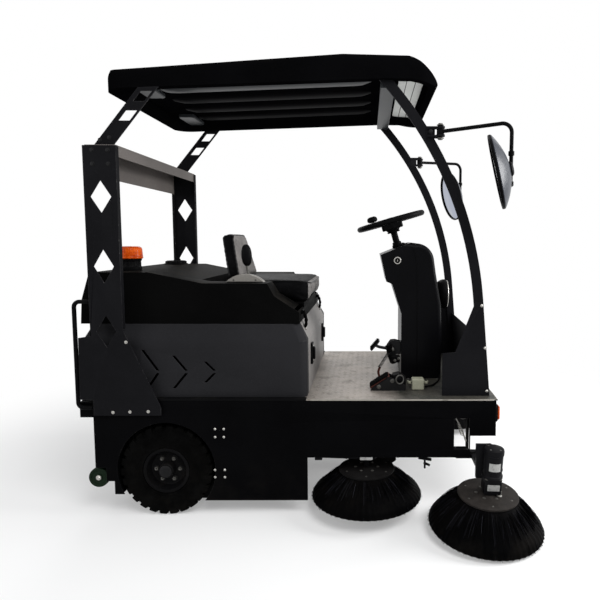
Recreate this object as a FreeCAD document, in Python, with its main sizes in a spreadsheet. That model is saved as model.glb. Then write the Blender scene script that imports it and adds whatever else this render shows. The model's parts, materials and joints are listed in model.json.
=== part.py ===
"""Ride-on sweeping machine: a three-wheeled floor sweeper with four side brushes and a main roller.

Millimetres, +X forward, +Y to the driver's left, +Z up, Z = 0 on the floor, origin under the middle
of the machine's outer box.  Driving dimensions live in the spreadsheet "sizes"; every sub-part reads
them from there.
"""
import FreeCAD, Part
import math
import os

import Sketcher

V = FreeCAD.Vector
DOC = FreeCAD.newDocument("sweeper")
SHEET = DOC.addObject("Spreadsheet::Sheet", "sizes")
NODES = {}

# alias, value or formula on other aliases, meaning
SIZES = [
    ("fit_gap", 0.3, "gap between separate pieces that seat on each other"),
    ("run_gap", 0.05, "radial clearance of a shaft in its bore"),
    ("tyre_radius", 200, "all three wheels"),
    ("tyre_width", 100, "all three wheels"),
    ("bead_radius", 102, "where the tyre meets its rim"),
    ("axle_radius", 12, "stub axles and the front axle"),
    ("rear_axle_x", -635, "rear wheels, along the machine"),
    ("rear_wheel_y", "=deck_half - 41", "middle of a rear tyre, across the machine"),
    ("front_wheel_x", 270, "steered wheel, along the machine"),
    ("deck_front", 817, "front edge of the deck"),
    ("deck_rear", -935, "rear ends of the rails"),
    ("deck_plate_rear", -990, "rear edge of the deck plate"),
    ("deck_half", 511, "half the deck's width"),
    ("deck_top", "=2 * tyre_radius + 120", "height of the deck"),
    ("deck_plate_thick", 5, "deck plate"),
    ("panel_thick", 4, "sheet-metal skirts and body panels"),
    ("skirt_low", 63, "height of the skirts' lower edge behind the middle brushes"),
    ("skirt_mid", 258, "height of the skirts' lower edge over the side brushes"),
    ("skirt_nose", 356, "height of the skirts' lower edge at the nose"),
    ("skirt_step_x", -15, "where the skirt steps up for the middle brush"),
    ("skirt_nose_x", 700, "where the skirt steps up at the nose"),
    ("arch_gap", 15, "gap between a rear tyre and its arch"),
    ("tow_plate_low", "=skirt_nose + 44", "underside of the tow plate on the nose"),
    ("tow_plate_thick", 12, "tow plate"),
    ("tow_plate_reach", 60, "how far the tow plate stands out of the nose"),
    ("tow_plate_half", 38, "half the tow plate's width"),
    ("tow_eye_radius", 12.5, "tow plate's hole"),
    ("rail_outer", "=deck_half - 111", "outer face of a chassis rail"),
    ("rail_width", 40, "chassis rail, across"),
    ("rail_depth", 60, "chassis rail, up and down"),
    ("body_rear", -1003, "rear face of the grey body"),
    ("body_front", -19, "front face of the grey body"),
    ("body_half", "=deck_half - 26", "half the grey body's width"),
    ("body_top", "=deck_top + 322", "top edge of the grey body"),
    ("chevron_slot", 13, "width of a chevron slot, fore and aft"),
    ("bevel_drop", 72, "height of the bevel round the grey body's top"),
    ("bevel_inset", 35, "how far the bevel leans in"),
    ("corner_radius", 36, "upright corners of the grey body"),
    ("hood_rise_rear", 226, "height of the hood behind the seat"),
    ("hood_rise_front", 178, "height of the hood's cheeks beside the seat"),
    ("hood_wall", 8, "moulded hood's wall"),
    ("hood_lip", 56, "how far back the raised lip in front of the seat well runs"),
    ("seat_floor", "=body_top + 73", "height of the seat well's floor"),
    ("well_half", 265, "half the seat well's width at its floor"),
    ("cushion_rear", -432, "rear of the seat cushion"),
    ("cushion_front", -17, "nose of the seat cushion"),
    ("cushion_half", "=well_half - 15", "half the seat cushion's width"),
    ("cushion_deep", 113, "depth of the seat cushion"),
    ("cushion_round", 58, "rounding of the cushion's corners, seen from above"),
    ("back_rise", 216, "height of the seat back over the cushion"),
    ("back_half", 200, "half the seat back's width at its foot"),
    ("back_half_top", 128, "half the seat back's width at its head"),
    ("lever_x", -310, "brush lever, fore and aft"),
    ("lever_y", 342, "brush lever, from the middle"),
    ("quadrant_long", 172, "length of the lever's quadrant"),
    ("quadrant_rise", 36, "height of the lever's quadrant"),
    ("quadrant_thick", 48, "width of the lever's quadrant"),
    ("beacon_x", -863, "beacon behind the seat, along"),
    ("beacon_y", -270, "beacon behind the seat, across"),
    ("beacon_base_radius", 50, "beacon's foot"),
    ("beacon_base_rise", 54, "beacon's foot"),
    ("beacon_lens_radius", 56, "beacon's amber dome"),
    ("beacon_lens_rise", 58, "beacon's amber dome"),
    ("grab_x", -1008, "upright run of a grab rail"),
    ("grab_y", "=deck_half - 4", "grab rails, across"),
    ("grab_top", "=deck_top + 426", "top run of a grab rail"),
    ("grab_radius", 9, "grab rail's tube"),
    ("bumper_rear", "=body_rear - 9", "rear face of the bumper"),
    ("pillar_half", "=deck_half + 13", "outer face of a rear pillar, from the middle"),
    ("pillar_rear", -935, "rear edge of a rear pillar"),
    ("pillar_front", -796, "front edge of a rear pillar"),
    ("pillar_top", "=deck_top + 1080", "top of a rear pillar"),
    ("pillar_low", "=deck_top - 68", "bottom of a rear pillar"),
    ("pillar_plate", 5, "rear pillar's plate"),
    ("pillar_flange", 22, "how deep a rear pillar's folded edges are"),
    ("canopy_half", "=front_pillar_half + 19", "half the canopy's width"),
    ("canopy_rear", -876, "rear end of the canopy"),
    ("canopy_front", 552, "front end of the canopy"),
    ("canopy_rim_rear", "=pillar_top + 242", "height of the canopy's rim at the rear"),
    ("canopy_rim_front", "=canopy_rim_rear + 47", "height of the canopy's rim over the front bar"),
    ("canopy_top", "=canopy_rim_rear + 191", "highest point of the canopy"),
    ("canopy_slope", 0.0727, "rise of the canopy's roof towards the front, per millimetre"),
    ("canopy_ridge_x", 140, "where the canopy's roof is highest"),
    ("canopy_fall", 0.02, "fall of the roof in front of its highest place, per millimetre"),
    ("canopy_wall", 42, "width of the canopy's rim"),
    ("front_pillar_half", "=deck_half - 60", "outer face of a front pillar, from the middle"),
    ("front_pillar_width", 42, "front pillar, fore and aft"),
    ("front_pillar_thick", 12, "front pillar, across"),
    ("front_pillar_radius", 1620, "bend of a front pillar's front edge"),
    ("front_pillar_foot_x", 794, "front pillar's foot"),
    ("front_pillar_bend_x", 757, "where the bend starts"),
    ("front_pillar_bend_z", "=deck_top + 430", "height where the bend starts"),
    ("console_half", 150, "half the steering console's width"),
    ("steer_hub_x", 366, "middle of the steering wheel"),
    ("steer_hub_z", "=deck_top + 788", "middle of the steering wheel"),
    ("steer_rake", 16, "steering column's lean, in degrees"),
    ("steer_radius", 165, "steering wheel, to the middle of its rim"),
    ("brush_disc_radius", 125, "a side brush's disc"),
    ("mid_brush_radius", 254, "middle side brush at its bristle tips"),
    ("mid_brush_rise", 125, "middle side brush, from bristle tips to the disc"),
    ("front_brush_radius", 245, "front side brush at its bristle tips"),
    ("front_brush_rise", 140, "front side brush, from bristle tips to the disc"),
    ("mid_brush_x", 245, "middle side brush, along"),
    ("mid_brush_y", "=deck_half - 56", "middle side brush, across"),
    ("mid_brush_lift", 64, "height of the middle brush's bristle tips"),
    ("mid_guide_x", 30, "guide rods of the middle brush's lift"),
    ("mid_guide_spread", 20, "guide rods, from the brush's middle line to each"),
    ("mid_guide_radius", 8, "guide rods of the middle brush's lift"),
    ("mid_guide_low", 300, "underside of the guide block"),
    ("mid_guide_high", 360, "top of the guide block"),
    ("front_brush_x", 740, "front side brush, along"),
    ("front_brush_y", "=deck_half + 149", "front side brush, across"),
    ("front_brush_low", 9, "lowest bristle tips of the front brush"),
    ("front_brush_tilt", 4.3, "outward tilt of the front brush, in degrees"),
    ("front_brush_lean", 2.6, "forward tilt of the front brush, in degrees"),
    ("front_pivot_x", 665, "middle of the front arm's hinge, along"),
    ("front_pivot_y", "=deck_half - 91", "hinge of the front brush's arm"),
    ("front_pivot_z", 260, "hinge of the front brush's arm"),
    ("motor_radius", 39, "side brush motors"),
    ("broom_x", -270, "main roller, along"),
    ("broom_z", 156, "main roller, height of its shaft"),
    ("broom_radius", 150, "main roller at its bristle tips"),
    ("broom_half", "=rail_outer - 50", "half the main roller's length"),
    ("hopper_rear", -930, "rear face of the dust hopper"),
    ("hopper_front", -500, "mouth of the dust hopper"),
    ("hopper_half", "=rail_outer - 55", "half the dust hopper's width"),
    ("hopper_low", 130, "floor of the dust hopper"),
    ("hopper_high", "=deck_top - 90", "top of the dust hopper"),
    ("roller_radius", 44, "hopper's small rollers"),
    ("roller_x", -939, "hopper's small rollers"),
    ("roller_z", 163, "hopper's small rollers"),
    ("mirror_radius", 151, "round mirror"),
    ("mirror_post_x", 556, "mirror arm's swivel"),
    ("mirror_post_z", "=canopy_rim_front - 217", "mirror arm's swivel"),
    ("mirror_elbow_x", 824, "mirror arm's elbow"),
    ("mirror_elbow_y", "=front_pillar_half + 155", "mirror arm's elbow, across"),
    ("mirror_elbow_z", "=mirror_post_z + 11", "mirror arm's elbow"),
    ("mirror_centre_x", 773, "middle of the round mirror"),
    ("mirror_centre_z", "=mirror_post_z - 185", "middle of the round mirror"),
    ("mirror_tilt", 13, "mirror's tilt towards the driver, in degrees"),
    ("mirror_heading", 12.7, "mirror's turn towards the driver, in degrees"),
]


def fill_sheet():
    for row, (alias, value, meaning) in enumerate(SIZES, start=1):
        SHEET.set("A%d" % row, alias)
        SHEET.set("B%d" % row, value if isinstance(value, str) else "%g" % value)
        SHEET.set("C%d" % row, meaning)
        SHEET.setAlias("B%d" % row, alias)
    DOC.recompute()


def size(alias):
    """A driving dimension, read back from the spreadsheet."""
    return float(SHEET.get(alias))


def value_of(expression):
    """The number that an expression on the spreadsheet gives now."""
    return float(SHEET.evalExpression(expression))


def bind(item, prop, expression):
    item.setExpression(prop, expression)


def keep(node, item):
    """Register a finished sub-part under its node name."""
    item.Label = node
    NODES[node] = item
    return item


# ---------------------------------------------------------------- building blocks

def box(name, low, high):
    """A Part::Box between two corners given as expressions."""
    item = DOC.addObject("Part::Box", name)
    for prop, axis, a, b in zip(("Length", "Width", "Height"), "xyz", low, high):
        bind(item, prop, "(%s) - (%s)" % (b, a))
        bind(item, "Placement.Base.%s" % axis, a)
    return item


TURN = {"x": FreeCAD.Rotation(V(0, 1, 0), 90), "y": FreeCAD.Rotation(V(1, 0, 0), -90),
        "z": FreeCAD.Rotation()}


def rod(name, along, start, radius, length):
    """A Part::Cylinder from its start point along an axis, sizes as expressions."""
    item = DOC.addObject("Part::Cylinder", name)
    item.Placement = FreeCAD.Placement(V(), TURN[along])
    for axis, place in zip("xyz", start):
        bind(item, "Placement.Base.%s" % axis, place)
    bind(item, "Radius", radius)
    bind(item, "Height", length)
    return item


def fuse(name, *pieces):
    item = DOC.addObject("Part::MultiFuse", name)
    item.Shapes = list(pieces)
    return item


def cut(name, base, *tools):
    item = DOC.addObject("Part::Cut", name)
    item.Base = base
    item.Tool = tools[0] if len(tools) == 1 else fuse(name + "_tools", *tools)
    return item


def mirror(name, source):
    """The left-hand twin of a right-hand piece."""
    item = DOC.addObject("Part::Mirroring", name)
    item.Source = source
    item.Normal = V(0, 1, 0)
    return item


def origin_plane(body, role):
    for feature in body.Origin.OriginFeatures:
        if feature.Role == role:
            return feature
    raise ValueError("no plane " + role)


def outline_sketch(body, name, role, corners, offset="0"):
    """A closed polygon on one of the body's own planes; each corner is a pair of expressions."""
    sketch = body.newObject("Sketcher::SketchObject", name)
    sketch.AttachmentSupport = [(origin_plane(body, role), "")]
    sketch.MapMode = "FlatFace"
    bind(sketch, "AttachmentOffset.Base.z", offset)
    places = [(value_of(a), value_of(b)) for a, b in corners]
    count = len(corners)
    for i, here in enumerate(places):
        there = places[(i + 1) % count]
        sketch.addGeometry(Part.LineSegment(V(here[0], here[1], 0), V(there[0], there[1], 0)))
    for i in range(count):
        sketch.addConstraint(Sketcher.Constraint("Coincident", i, 2, (i + 1) % count, 1))
    for i, (corner, here) in enumerate(zip(corners, places)):
        for kind, expression, number in zip(("DistanceX", "DistanceY"), corner, here):
            index = sketch.addConstraint(Sketcher.Constraint(kind, -1, 1, i, 1, number))
            bind(sketch, "Constraints[%d]" % index, expression)
    return sketch


def padded(name, role, corners, length, offset="0"):
    """A PartDesign body: a polygon padded along its plane's normal (-Y for XZ, +X for YZ, +Z for XY)."""
    body = DOC.addObject("PartDesign::Body", name)
    pad = body.newObject("PartDesign::Pad", name + "_pad")
    pad.Profile = outline_sketch(body, name + "_outline", role, corners, offset)
    bind(pad, "Length", length)
    body.Tip = pad
    return body


def revolved(name, corners, placement):
    """A PartDesign body: a half outline (radius, height) turned about its own Z axis, then placed."""
    body = DOC.addObject("PartDesign::Body", name)
    turn = body.newObject("PartDesign::Revolution", name + "_turn")
    sketch = outline_sketch(body, name + "_outline", "XZ_Plane", corners)
    turn.Profile = sketch
    turn.ReferenceAxis = (sketch, ["V_Axis"])
    turn.Angle = 360
    body.Tip = turn
    body.Placement = placement
    return body


def shaped(name, shape, placement=None):
    """A Part::Feature for forms with arcs, blends or lofts, worked out from the sheet's sizes."""
    item = DOC.addObject("Part::Feature", name)
    item.Shape = shape
    if placement is not None:
        item.Placement = placement
    return item


def face_xz(points, y=0.0):
    """A flat face in a plane across the machine; a point of three numbers starts an arc through it.

    Each entry is (x, z), or (x, z, "mid") for the middle point of an arc to the next entry.
    """
    edges = []
    count = len(points)
    index = 0
    while index < count:
        here = points[index]
        after = points[(index + 1) % count]
        if len(after) == 3:
            end = points[(index + 2) % count]
            arc = Part.Arc(V(here[0], y, here[1]), V(after[0], y, after[1]), V(end[0], y, end[1]))
            edges.append(arc.toShape())
            index += 2
        else:
            edges.append(Part.LineSegment(V(here[0], y, here[1]), V(after[0], y, after[1])).toShape())
            index += 1
    return Part.Face(Part.Wire(edges))


def slab(points, y_low, y_high):
    """A solid between two planes across the machine."""
    return face_xz(points, y_low).extrude(V(0, y_high - y_low, 0))


def rounded_wire(x_low, x_high, half, radius, z):
    """A rounded rectangle, level, symmetric about the machine's middle."""
    k = radius * (1 - math.sqrt(0.5))
    corners = [(x_high, half, -1, -1), (x_low, half, 1, -1), (x_low, -half, 1, 1), (x_high, -half, -1, 1)]
    edges = []
    last = None
    first = None
    for number, (x, y, sx, sy) in enumerate(corners):
        if number % 2 == 0:
            start, end = V(x, y + sy * radius, z), V(x + sx * radius, y, z)
        else:
            start, end = V(x + sx * radius, y, z), V(x, y + sy * radius, z)
        if last is not None:
            edges.append(Part.LineSegment(last, start).toShape())
        edges.append(Part.Arc(start, V(x + sx * k, y + sy * k, z), end).toShape())
        first = first or start
        last = end
    edges.append(Part.LineSegment(last, first).toShape())
    return Part.Wire(edges)


def bar(start, end, radius):
    """A round bar between two points."""
    path = end - start
    return Part.makeCylinder(radius, path.Length, start, path)


def bent_tube(points, radius, bend):
    """A round tube along straight runs joined by tangent arcs of one bend radius."""
    edges = []
    here = points[0]
    for i in range(1, len(points) - 1):
        corner = points[i]
        back = (points[i - 1] - corner).normalize()
        ahead = (points[i + 1] - corner).normalize()
        half = math.acos(back.dot(ahead)) / 2
        reach = bend / math.tan(half)
        inner = (back + ahead).normalize() * (bend / math.sin(half) - bend)
        edges.append(Part.LineSegment(here, corner + back * reach).toShape())
        edges.append(Part.Arc(corner + back * reach, corner + inner, corner + ahead * reach).toShape())
        here = corner + ahead * reach
    edges.append(Part.LineSegment(here, points[-1]).toShape())
    path = Part.Wire(edges)
    direction = points[1] - points[0]
    ring = Part.Wire(Part.makeCircle(radius, points[0], direction))
    return path.makePipeShell([ring], True, False)


# ---------------------------------------------------------------- chassis

def chassis():
    rail_low = "sizes.deck_top - sizes.deck_plate_thick - sizes.rail_depth"
    rail_high = "sizes.deck_top - sizes.deck_plate_thick"
    inner = "sizes.rail_outer - sizes.rail_width"
    pieces = []
    for side, low, high in (("right", "-sizes.rail_outer", "-(%s)" % inner),
                            ("left", inner, "sizes.rail_outer")):
        pieces.append(box("rail_" + side, ("sizes.deck_rear", low, rail_low),
                          ("sizes.deck_front - 17", high, rail_high)))
    # cross members: name, first edge, last edge
    for name, rear, front in (("tail", "sizes.deck_rear", "sizes.deck_rear + 40"),
                              ("waist", "-60", "-20"),
                              ("head", "sizes.front_wheel_x - 60", "sizes.front_wheel_x + 60"),
                              ("nose", "sizes.deck_front - 57", "sizes.deck_front - 17")):
        pieces.append(box("cross_" + name, (rear, "-(%s)" % inner, rail_low), (front, inner, rail_high)))
    # outriggers that carry the skirts: name, first edge, width
    skirt = "sizes.deck_half - sizes.panel_thick"
    for name, rear, width in (("tail", "sizes.deck_rear", 35), ("waist", "-110", 35),
                              ("mid", "sizes.mid_guide_x - 20", 40), ("nose", "sizes.deck_front - 52", 35)):
        for side, low, high in (("right", "-(%s)" % skirt, "-sizes.rail_outer"),
                                ("left", "sizes.rail_outer", skirt)):
            pieces.append(box("outrigger_%s_%s" % (name, side), (rear, low, rail_low + " + 15"),
                              ("%s + %d" % (rear, width), high, rail_high)))
    # guide blocks for the middle brushes' lifts, hinge ears and pins for the front brushes' arms
    bores = []
    for side, sign in (("right", -1), ("left", 1)):
        middle = "%d * sizes.mid_brush_y" % sign
        pieces.append(box("guide_block_" + side,
                          ("sizes.mid_guide_x - 18", middle + " - 38", "sizes.mid_guide_low"),
                          ("sizes.mid_guide_x + 18", middle + " + 38", "sizes.mid_guide_high")))
        for row, y in enumerate((-38, 32)):
            pieces.append(box("guide_plate_%s_%d" % (side, row),
                              ("sizes.mid_guide_x - 18", middle + " + %d" % y, "sizes.mid_guide_high - 10"),
                              ("sizes.mid_guide_x + 18", middle + " + %d" % (y + 6), rail_high)))
        for row, hand in enumerate((-1, 1)):
            place = ("sizes.mid_guide_x", middle + " + %d * sizes.mid_guide_spread" % hand,
                     "sizes.mid_guide_low - 10")
            bores.append(rod("guide_bore_%s_%d" % (side, row), "z", place,
                             "sizes.mid_guide_radius + sizes.run_gap",
                             "sizes.mid_guide_high - sizes.mid_guide_low + 20"))
        hinge_y = "%d * sizes.front_pivot_y" % sign
        for row, ahead in enumerate((-41, 37)):
            pieces.append(box("front_ear_%s_%d" % (side, row),
                              ("sizes.front_pivot_x + %d" % ahead,
                               hinge_y + " - %d" % (15 if sign < 0 else 35),
                               "sizes.front_pivot_z - 14"),
                              ("sizes.front_pivot_x + %d" % (ahead + 6),
                               hinge_y + " + %d" % (35 if sign < 0 else 15),
                               rail_low)))
        pieces.append(rod("front_pin_" + side, "x",
                          ("sizes.front_pivot_x - 41", hinge_y, "sizes.front_pivot_z"), "6", "84"))
    # plates that carry the main roller's shaft
    for side, low, high in (("right", "-sizes.broom_half - 23", "-sizes.broom_half - 15"),
                            ("left", "sizes.broom_half + 15", "sizes.broom_half + 23")):
        pieces.append(box("broom_plate_" + side, ("sizes.broom_x - 40", low, "sizes.broom_z - 30"),
                          ("sizes.broom_x + 40", high, rail_low)))
    solid = fuse("frame_solid", *pieces)
    bores += [rod("kingpin_bore", "z", ("sizes.front_wheel_x", "0", rail_low + " - 1"),
                  "20 + sizes.run_gap", "sizes.rail_depth"),
              rod("broom_bore", "y", ("sizes.broom_x", "-sizes.rail_outer", "sizes.broom_z"),
                  "15 + sizes.run_gap",
                  "2 * sizes.rail_outer")]
    keep("chassis_frame", cut("chassis_frame", solid, *bores))


def deck():
    keep("deck_plate", box("deck_plate",
                           ("sizes.deck_plate_rear", "-sizes.deck_half",
                            "sizes.deck_top - sizes.deck_plate_thick"),
                           ("sizes.deck_front", "sizes.deck_half", "sizes.deck_top")))


def skirts():
    under = "sizes.deck_top - sizes.deck_plate_thick"
    rear = "sizes.deck_rear - 10"
    arch_edge = "sizes.rear_axle_x - sizes.tyre_radius - sizes.arch_gap"
    # steps up towards the tail: distance from the arch's rear edge, height of the edge behind it
    outline = [(rear, under), (rear, "213"), (arch_edge + " - 48", "213"), (arch_edge + " - 48", "152"),
               (arch_edge + " - 14", "152"), (arch_edge + " - 14", "92"),
               (arch_edge + " + 50", "92"), (arch_edge + " + 50", "sizes.skirt_low"),
               ("sizes.skirt_step_x", "sizes.skirt_low"),
               ("sizes.skirt_step_x", "sizes.skirt_mid"), ("sizes.skirt_nose_x", "sizes.skirt_mid"),
               ("sizes.skirt_nose_x", "sizes.skirt_nose"), ("sizes.deck_front - 5", "sizes.skirt_nose"),
               ("sizes.deck_front - 5", under)]
    blank = padded("skirt_blank", "XZ_Plane", outline, "sizes.panel_thick",
                   "sizes.deck_half - sizes.panel_thick")
    arch = rod("wheel_arch", "y", ("sizes.rear_axle_x", "-sizes.deck_half - 89", "sizes.tyre_radius"),
               "sizes.tyre_radius + sizes.arch_gap", "200")
    window = box("skirt_window", ("629", "-sizes.deck_half - 89", "297"),
                 ("695", "-sizes.deck_half + 111", "434"))
    right = keep("side_skirt_right", cut("side_skirt_right", blank, arch, window))
    keep("side_skirt_left", mirror("side_skirt_left", right))
    inner = "sizes.deck_half - sizes.panel_thick - sizes.fit_gap"
    keep("front_fascia", box("front_fascia", ("sizes.deck_front - 9", "-(%s)" % inner, "sizes.skirt_nose"),
                             ("sizes.deck_front - 5", inner, under)))
    tip, root = "(sizes.deck_half - 17)", "(sizes.rail_outer - 20)"
    beam = box("bumper_beam", ("sizes.bumper_rear", "-" + tip, "sizes.deck_top - 60"),
               ("sizes.deck_rear", tip, "sizes.deck_top - 16"))
    ends = [box("bumper_end_" + side, ("sizes.bumper_rear", low, "sizes.deck_top - 87"),
                ("sizes.deck_rear", high, "sizes.deck_top - 50"))
            for side, low, high in (("right", "-" + tip, "-" + root), ("left", root, tip))]
    keep("rear_bumper", fuse("rear_bumper", beam, *ends))


def tow_plate():
    """Plate with an upright flange, bolted to the nose below the deck, with a hole for a shackle pin."""
    nose = "sizes.deck_front - 5 + sizes.fit_gap"
    shelf = box("tow_shelf", (nose, "-sizes.tow_plate_half", "sizes.tow_plate_low"),
                (nose + " + sizes.tow_plate_reach", "sizes.tow_plate_half",
                 "sizes.tow_plate_low + sizes.tow_plate_thick"))
    flange = box("tow_flange", (nose, "-sizes.tow_plate_half", "sizes.tow_plate_low"),
                 (nose + " + 8", "sizes.tow_plate_half", "sizes.tow_plate_low + 76"))
    eye = rod("tow_bore", "z", (nose + " + sizes.tow_plate_reach / 2 + 4", "0", "sizes.tow_plate_low - 5"),
              "sizes.tow_eye_radius", "sizes.tow_plate_thick + 10")
    keep("tow_plate", cut("tow_plate", fuse("tow_solid", shelf, flange), eye))


# ---------------------------------------------------------------- grey body

def body_shell():
    """The bevelled, round-cornered housing on the deck, open above and below, before it is split."""
    low, high = size("deck_top"), size("body_top")
    waist = high - size("bevel_drop")
    inset, wall, radius = size("bevel_inset"), size("panel_thick"), size("corner_radius")

    def skin(shrink, bottom, top):
        wires = []
        for z, lean in ((bottom, 0), (waist, 0), (top, inset)):
            in_by = shrink + lean
            wires.append(rounded_wire(size("body_rear") + in_by, size("body_front") - in_by,
                                      size("body_half") - in_by, max(radius - shrink, 2), z))
        return Part.makeLoft(wires, True, True)

    return skin(0, low, high).cut(skin(wall, low, high))


def body_panels():
    shell = body_shell()
    seam = size("body_half") - size("bevel_inset") - size("corner_radius") - 10
    middle = (size("body_rear") + size("body_front")) / 2
    reach = 1500
    right_space = Part.makeBox(2 * reach, reach, reach, V(-reach, -reach - seam, 0))
    rear_space = Part.makeBox(reach, 2 * seam, reach, V(middle - reach, -seam, 0))
    front_space = Part.makeBox(reach, 2 * seam, reach, V(middle, -seam, 0))
    right = shell.common(right_space)
    slot = size("chevron_slot")
    centre = size("deck_top") + 115
    # chevron slots in the side: tip along X, how far back it runs, how far up and down it runs
    for tip, run, rise in ((-661, 65, 98), (-537, 56, 73), (-414, 42, 47)):
        for up in (1, -1):
            points = [(tip, centre + up * 5), (tip - run, centre + up * rise),
                      (tip - run - slot, centre + up * rise), (tip - slot, centre + up * 5)]
            right = right.cut(slab(points, -size("body_half") - 20, -size("body_half") + 20))
    panel = keep("body_panel_right", shaped("body_panel_right", right))
    keep("body_panel_left", mirror("body_panel_left", panel))
    keep("body_panel_front", shaped("body_panel_front", shell.common(front_space)))
    keep("body_panel_rear", shaped("body_panel_rear", shell.common(rear_space)))
    keep("battery_block", box("battery_block", ("-850", "-sizes.body_half + 155", "sizes.deck_top"),
                              ("-350", "sizes.body_half - 155", "sizes.deck_top + 260")))


# ---------------------------------------------------------------- hood and seat

def hood():
    """Moulded cover that carries the seat in a well; its front cheeks fall away beside the cushion."""
    base = size("body_top") + size("fit_gap")
    rear_top = size("body_top") + size("hood_rise_rear")
    cheek = size("body_top") + size("hood_rise_front")
    rear, front = size("body_rear") - 9, size("body_front") - size("bevel_inset")
    half = size("body_half") - size("bevel_inset")
    profile = [(rear, base), (rear + 3, rear_top - 122), (rear + 34, rear_top - 7), (rear + 48, rear_top),
               (-720, rear_top), (-480, cheek), (-196, cheek), (-165, cheek - 55),
               (front, base + 50), (front, base)]
    block = slab(profile, -half, half)
    draft = 16.0
    section = Part.Face(Part.makePolygon([V(rear, -half, base), V(rear, -half + draft, rear_top + 1),
                                          V(rear, half - draft, rear_top + 1), V(rear, half, base),
                                          V(rear, -half, base)]))
    block = block.common(section.extrude(V(front - rear, 0, 0)))
    floor, well = size("seat_floor"), size("well_half")
    flare = 60.0
    mouth = Part.Face(Part.makePolygon([V(-520, -well, floor), V(-520, -well - flare, rear_top),
                                        V(-520, well + flare, rear_top), V(-520, well, floor),
                                        V(-520, -well, floor)]))
    block = block.cut(mouth.extrude(V(front + 540, 0, 0)))
    lip = [(front - size("hood_lip"), floor - 24), (front, base + 36), (front, floor),
           (front - size("hood_lip"), floor)]
    block = block.fuse(slab(lip, -well, well)).removeSplitter()
    wall = size("hood_wall")
    under_rear = [(rear + wall, base - 1), (rear + wall + 3, rear_top - 122),
                  (rear + wall + 36, rear_top - 7 - wall),
                  (-724, rear_top - wall), (-532, cheek + 4), (-532, base - 1)]
    block = block.cut(slab(under_rear, -half + draft + wall, half - draft - wall))
    under_front = Part.makeBox(front - wall + 533, 2 * (half - wall - 5), floor - wall - base + 1,
                               V(-533, -half + wall + 5, base - 1))
    block = block.cut(under_front)
    keep("hood", shaped("hood", block))


def seat():
    """Cushion in the hood's well, a raked back that narrows upwards, and the brush lever in its quadrant."""
    floor = size("seat_floor") + size("fit_gap")
    rear, front, half = size("cushion_rear"), size("cushion_front"), size("cushion_half")
    deep = size("cushion_deep")
    cushion = slab([(rear, floor), (front - 34, floor), (front - 12, floor + 10), (front, floor + 44),
                    (front - 2, floor + deep - 21), (front - 26, floor + deep - 5),
                    (front - 182, floor + deep), (rear, floor + deep)],
                   -half, half)
    plan = Part.Face(rounded_wire(rear, front, half, size("cushion_round"),
                                  floor - 1)).extrude(V(0, 0, deep + 2))
    keep("seat_cushion", shaped("seat_cushion", cushion.common(plan)))
    seat_top = floor + deep + size("fit_gap")
    rise, wide, narrow = size("back_rise"), size("back_half"), size("back_half_top")
    back = slab([(-428, seat_top), (-362, seat_top), (-408, seat_top + rise - 20),
                 (-440, seat_top + rise, "mid"),
                 (-473, seat_top + rise - 22)], -wide, wide)
    outline = [(-wide, seat_top - 1), (wide, seat_top - 1), (wide - 4, seat_top + 20),
               (narrow + 10, seat_top + rise - 32),
               (narrow - 8, seat_top + rise - 8), (narrow - 28, seat_top + rise + 1),
               (28 - narrow, seat_top + rise + 1),
               (8 - narrow, seat_top + rise - 8), (-narrow - 10, seat_top + rise - 32),
               (4 - wide, seat_top + 20)]
    corners = [V(-500, y, z) for y, z in outline]
    taper = Part.Face(Part.makePolygon(corners + corners[:1])).extrude(V(200, 0, 0))
    keep("seat_back", shaped("seat_back", back.common(taper)))
    cheek = size("body_top") + size("hood_rise_front") + size("fit_gap")
    chord, height = size("quadrant_long") / 2, size("quadrant_rise")
    round_by = (chord ** 2 + height ** 2) / (2 * height)
    across, thick = size("lever_y"), size("quadrant_thick")
    drum = Part.makeCylinder(round_by, thick,
                             V(size("lever_x"), -across - thick / 2, cheek + height - round_by), V(0, 1, 0))
    quadrant = drum.common(Part.makeBox(4 * chord, 2 * thick, height + 1,
                                        V(size("lever_x") - 2 * chord, -across - thick, cheek)))
    stem = bar(V(size("lever_x") + 14, -across, cheek + 2), V(size("lever_x") + 7, -across, cheek + 95), 7)
    knob = Part.makeSphere(27)
    stretch = FreeCAD.Matrix()
    stretch.scale(0.9, 0.9, 1.9)
    knob = knob.transformGeometry(stretch)
    knob.translate(V(size("lever_x") + 6, -across, cheek + 121))
    keep("brush_lever", shaped("brush_lever", quadrant.fuse(stem).fuse(knob)))


def beacon():
    rise = "sizes.body_top + sizes.hood_rise_rear + sizes.fit_gap"
    keep("beacon_base", rod("beacon_base", "z", ("sizes.beacon_x", "sizes.beacon_y", rise),
                            "sizes.beacon_base_radius",
                            "sizes.beacon_base_rise"))
    keep("beacon_lens", rod("beacon_lens", "z",
                            ("sizes.beacon_x", "sizes.beacon_y", rise + " + sizes.beacon_base_rise"),
                            "sizes.beacon_lens_radius", "sizes.beacon_lens_rise"))


# ---------------------------------------------------------------- cage and canopy

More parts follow.
